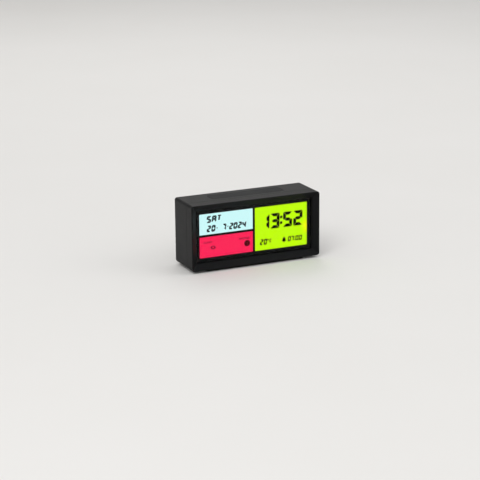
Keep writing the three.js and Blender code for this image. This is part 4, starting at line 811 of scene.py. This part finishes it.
# Snooze springs: hard-drawn steel wire, nickel-plated, wound in five free turns between two dead
# ones. They stand on the snooze board under the bar; in the clock they shorten when the bar goes
# down, but the coils drawn here keep one length.
SPRING_X = 34
SPRING_Y = 4.8
SPRING_FOOT = 73.31
SPRING_TOP = 81.89
SPRING_RADIUS = 2.4
SPRING_WIRE = 0.5
SPRING_TURNS = 5
DEAD_PITCH = 0.58
COIL_STEPS = 30
WIRE_SIDES = 10


def coil(x, y, foot, top, radius, wire, turns, dead_pitch):
    """Wire round an upright helix: it climbs by the dead pitch in its first and last turn and
    evenly between them. The section stands on the radius and on the tangent crossed with it."""
    low, high = foot + wire / 2, top - wire / 2
    at = np.array([0, 1, 1 + turns, 2 + turns])
    climb = np.array([low, low + dead_pitch, high - dead_pitch, high])
    wound = np.linspace(0, 2 + turns, (2 + turns) * COIL_STEPS + 1)
    angle = 2 * math.pi * wound
    outward = np.stack([np.cos(angle), np.sin(angle), 0 * angle], axis=-1)
    middle = np.array([x, y, 0]) + radius * outward
    middle[:, 2] = np.interp(wound, at, climb)
    tangent = np.gradient(middle, axis=0)
    tangent /= np.linalg.norm(tangent, axis=1, keepdims=True)
    beside = np.cross(tangent, outward)
    round_wire = 2 * math.pi * np.arange(WIRE_SIDES) / WIRE_SIDES
    points = middle[:, None] + wire / 2 * (np.cos(round_wire)[:, None] * outward[:, None]
                                           + np.sin(round_wire)[:, None] * beside[:, None])
    rings = len(middle)
    i, j = np.meshgrid(np.arange(rings - 1), np.arange(WIRE_SIDES), indexing="ij")
    k = (j + 1) % WIRE_SIDES
    faces = np.stack([i, i + 1, i + 1, i], axis=-1) * WIRE_SIDES + np.stack([j, j, k, k], axis=-1)
    ends = [list(range(WIRE_SIDES)),
            list(range(rings * WIRE_SIDES - 1, (rings - 1) * WIRE_SIDES - 1, -1))]
    return points.reshape(-1, 3), faces.reshape(-1, 4).tolist() + ends


for side, x in (("left", -SPRING_X), ("right", SPRING_X)):
    wire = coil(x, SPRING_Y, SPRING_FOOT, SPRING_TOP, SPRING_RADIUS, SPRING_WIRE,
                SPRING_TURNS, DEAD_PITCH)
    spring = make_piece(f"snooze_coil_{side}", [wire], nickel)
    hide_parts(f"snooze_spring_{side}")
    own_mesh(spring)


# AAA cells: a steel can in a shrunk printed sleeve, dark with a copper band at the + end.
# The sleeve stops short of both ends, where the bare steel shows.
CELL_LENGTH = 44.5
CELL_BARE = 1.1
CELL_BAND = 13
CELL_GRIME = 5
CELL_ROUGHNESS = 0.28
OUTER_CELLS_PLUS = 66.9
MIDDLE_CELL_PLUS = 17.5


def sleeved_cell(name, plus_end, minus_end):
    """Sleeve by the way along the cell, 0 at the + end and 1 at the other: band, dark, steel."""
    material, tree, shader, place = open_material(name)
    split = add(tree, "ShaderNodeSeparateXYZ", None, None, {"Vector": (place, "Object")})
    along = add(tree, "ShaderNodeMapRange", None,
                {"From Min": plus_end * MM, "From Max": minus_end * MM}, {"Value": (split, "X")})
    past_band = add(tree, "ShaderNodeMath", {"operation": "GREATER_THAN"},
                    {1: CELL_BAND / CELL_LENGTH}, {0: (along, "Result")})
    middle = add(tree, "ShaderNodeMath", {"operation": "SUBTRACT"}, {1: 0.5},
                 {0: (along, "Result")})
    far = add(tree, "ShaderNodeMath", {"operation": "ABSOLUTE"}, None, {0: (middle, "Value")})
    bare = add(tree, "ShaderNodeMath", {"operation": "GREATER_THAN"},
               {1: 0.5 - CELL_BARE / CELL_LENGTH}, {0: (far, "Value")})
    grime = add(tree, "ShaderNodeTexNoise", None, {"Scale": per_mm(CELL_GRIME), "Detail": 3},
                {"Vector": (place, "Object")})
    copper = blend_colour(tree, (grime, "Fac"), "#A5683B", "#B97B4C")
    dark = blend_colour(tree, (grime, "Fac"), "#1D2733", "#25303E")
    sleeve = blend_colour(tree, (past_band, "Value"), copper, dark)
    feed(shader, "Base Color", blend_colour(tree, (bare, "Value"), sleeve, "#C4C3BF"))
    feed(shader, "Metallic", (bare, "Value"))
    shader.inputs["Roughness"].default_value = CELL_ROUGHNESS
    return material


plus_right = sleeved_cell("sleeved_cell_plus_right", OUTER_CELLS_PLUS,
                          OUTER_CELLS_PLUS - CELL_LENGTH)
plus_left = sleeved_cell("sleeved_cell_plus_left", MIDDLE_CELL_PLUS,
                         MIDDLE_CELL_PLUS + CELL_LENGTH)
finish(plus_right, "battery_1", "battery_3")
finish(plus_left, "battery_2")


# Wires: stranded copper in extruded PVC sleeves, and a flat grey ribbon of fine wires side by
# side that runs to the keys. The PVC has a slight waxy shine.
WAX_PATCH = 8
PVC_ROUGHNESS = 0.36


def wire_sleeve(name, low, high):
    """Extruded PVC: colour from low to high with noise of WAX_PATCH."""
    material, tree, shader, place = open_material(name)
    wax = add(tree, "ShaderNodeTexNoise", None, {"Scale": per_mm(WAX_PATCH), "Detail": 2},
              {"Vector": (place, "Object")})
    feed(shader, "Base Color", blend_colour(tree, (wax, "Fac"), low, high))
    shader.inputs["Roughness"].default_value = PVC_ROUGHNESS
    return material


pvc_red = wire_sleeve("extruded_pvc_red", "#A3201C", "#BC2E28")
pvc_black = wire_sleeve("extruded_pvc_black", "#151517", "#222225")
ribbon_pvc = striped("ribbon_pvc_grey", "#9FA1A4", "#7C7E82",
                     pitch=1.27, share=0.3, axis="X", roughness=0.45)
finish(pvc_red, "battery_wire_red")
finish(pvc_black, "battery_wire_black", "buzzer_cable", "power_cable", "snooze_cable")
finish(ribbon_pvc, "key_ribbon")


# Studio: a pale paper sweep that runs from the floor up into the backdrop, and soft light from
# a wide box above the left, a weaker one on the right and one behind that draws the top edges.
SWEEP_HALF_WIDTH = 6000
SWEEP_NEAR = -4000
SWEEP_FAR = 2600
SWEEP_RADIUS = 900
SWEEP_TOP = 4000
PAPER_CLOUD = 300
PAPER_ROUGHNESS = 0.9
PAPER_SHINE = 0.1
AIR_LIGHT = 0.75


def paper_sweep():
    """Floor line, quarter circle and wall, carried sideways across the width."""
    turn = np.linspace(0, math.pi / 2, 24)
    arc = np.stack([SWEEP_FAR + SWEEP_RADIUS * np.sin(turn),
                    SWEEP_RADIUS - SWEEP_RADIUS * np.cos(turn)], axis=-1)
    line = np.concatenate([[(SWEEP_NEAR, 0)], arc, [(SWEEP_FAR + SWEEP_RADIUS, SWEEP_TOP)]])
    xyz = np.empty((len(line), 2, 3))
    xyz[..., 0] = np.array([-SWEEP_HALF_WIDTH, SWEEP_HALF_WIDTH])
    xyz[..., 1:] = line[:, None, :]
    row = 2 * np.arange(len(line) - 1)
    faces = np.stack([row, row + 1, row + 3, row + 2], axis=-1)
    mesh = bpy.data.meshes.new("paper_sweep")
    mesh.from_pydata((xyz.reshape(-1, 3) * MM).tolist(), [], faces.tolist())
    mesh.polygons.foreach_set("use_smooth", [True] * len(faces))
    return mesh


def matt_paper(name, low, high):
    """Pale uncoated paper: colour from low to high over clouds of PAPER_CLOUD."""
    material, tree, shader, place = open_material(name)
    clouds = add(tree, "ShaderNodeTexNoise", None, {"Scale": per_mm(PAPER_CLOUD), "Detail": 3},
                 {"Vector": (place, "Object")})
    feed(shader, "Base Color", blend_colour(tree, (clouds, "Fac"), low, high))
    shader.inputs["Roughness"].default_value = PAPER_ROUGHNESS
    shader.inputs["Specular IOR Level"].default_value = PAPER_SHINE
    return material


def soft_box(name, watts, size, spot, aim):
    """Square lamp at spot, turned so that its face looks at aim (metres)."""
    lamp = bpy.data.lights.new(name, "AREA")
    lamp.energy = watts
    lamp.size = size
    holder = bpy.data.objects.new(name, lamp)
    spot, aim = np.array(spot), np.array(aim)
    holder.location = spot
    ahead = (aim - spot) / np.linalg.norm(aim - spot)
    turn = math.atan2(-ahead[0], ahead[1])
    tilt = math.acos(-ahead[2])
    holder.rotation_euler = (tilt, 0, turn)
    bpy.context.scene.collection.objects.link(holder)


sweep = bpy.data.objects.new("paper_sweep", paper_sweep())
sweep.data.materials.append(matt_paper("studio_paper_matt", "#E4E2DE", "#E8E6E3"))
bpy.context.scene.collection.objects.link(sweep)
soft_box("soft_box_key", watts=26, size=1.4, spot=(-1.5, -1.5, 2.0), aim=(0, 0, 0.04))
soft_box("soft_box_fill", watts=9, size=1.6, spot=(1.9, -1.2, 1.2), aim=(0, 0, 0.04))
soft_box("soft_box_back", watts=9, size=1.2, spot=(0.5, 1.6, 1.7), aim=(0, 0, 0.08))
world = bpy.data.worlds.new("studio_air")
bpy.context.scene.world = world
world.use_nodes = True
air = world.node_tree.nodes["Background"]
air.inputs["Color"].default_value = linear("#F4F5F7")
air.inputs["Strength"].default_value = AIR_LIGHT


# Camera: where the photograph was taken from, worked out from the corners of the display and
# the case: a little above, well to the left of the front and turned slightly about its own
# axis. Distance, aim and place are metres, the focal length pixels of the photograph.
AZIMUTH = math.radians(-24.493)
ELEVATION = math.radians(15.717)
ROLL = math.radians(-0.535)
DISTANCE = 2.0181
AIM = np.array([-0.02245, -0.0268, 0.03549])
SENSOR = 36
FOCAL_PIXELS = 1678.85
PICTURE_PIXELS = 480

back = np.array([math.sin(AZIMUTH) * math.cos(ELEVATION),
                 -math.cos(AZIMUTH) * math.cos(ELEVATION), math.sin(ELEVATION)])
camera_place = AIM + back * DISTANCE
lens = bpy.data.cameras.new("camera")
lens.sensor_width = SENSOR
lens.lens = FOCAL_PIXELS / PICTURE_PIXELS * SENSOR
camera = bpy.data.objects.new("camera", lens)
bpy.context.scene.collection.objects.link(camera)
right = np.cross(-back, (0, 0, 1))
right /= np.linalg.norm(right)
upward = np.cross(right, -back)
rolled = right * math.cos(ROLL) + upward * math.sin(ROLL)
rolled_up = upward * math.cos(ROLL) - right * math.sin(ROLL)
stand = np.eye(4)
stand[:3] = np.stack([rolled, rolled_up, back, camera_place], axis=-1)
camera.matrix_world = Matrix(stand.tolist())
bpy.context.scene.camera = camera
bpy.context.scene.view_settings.view_transform = "Standard"
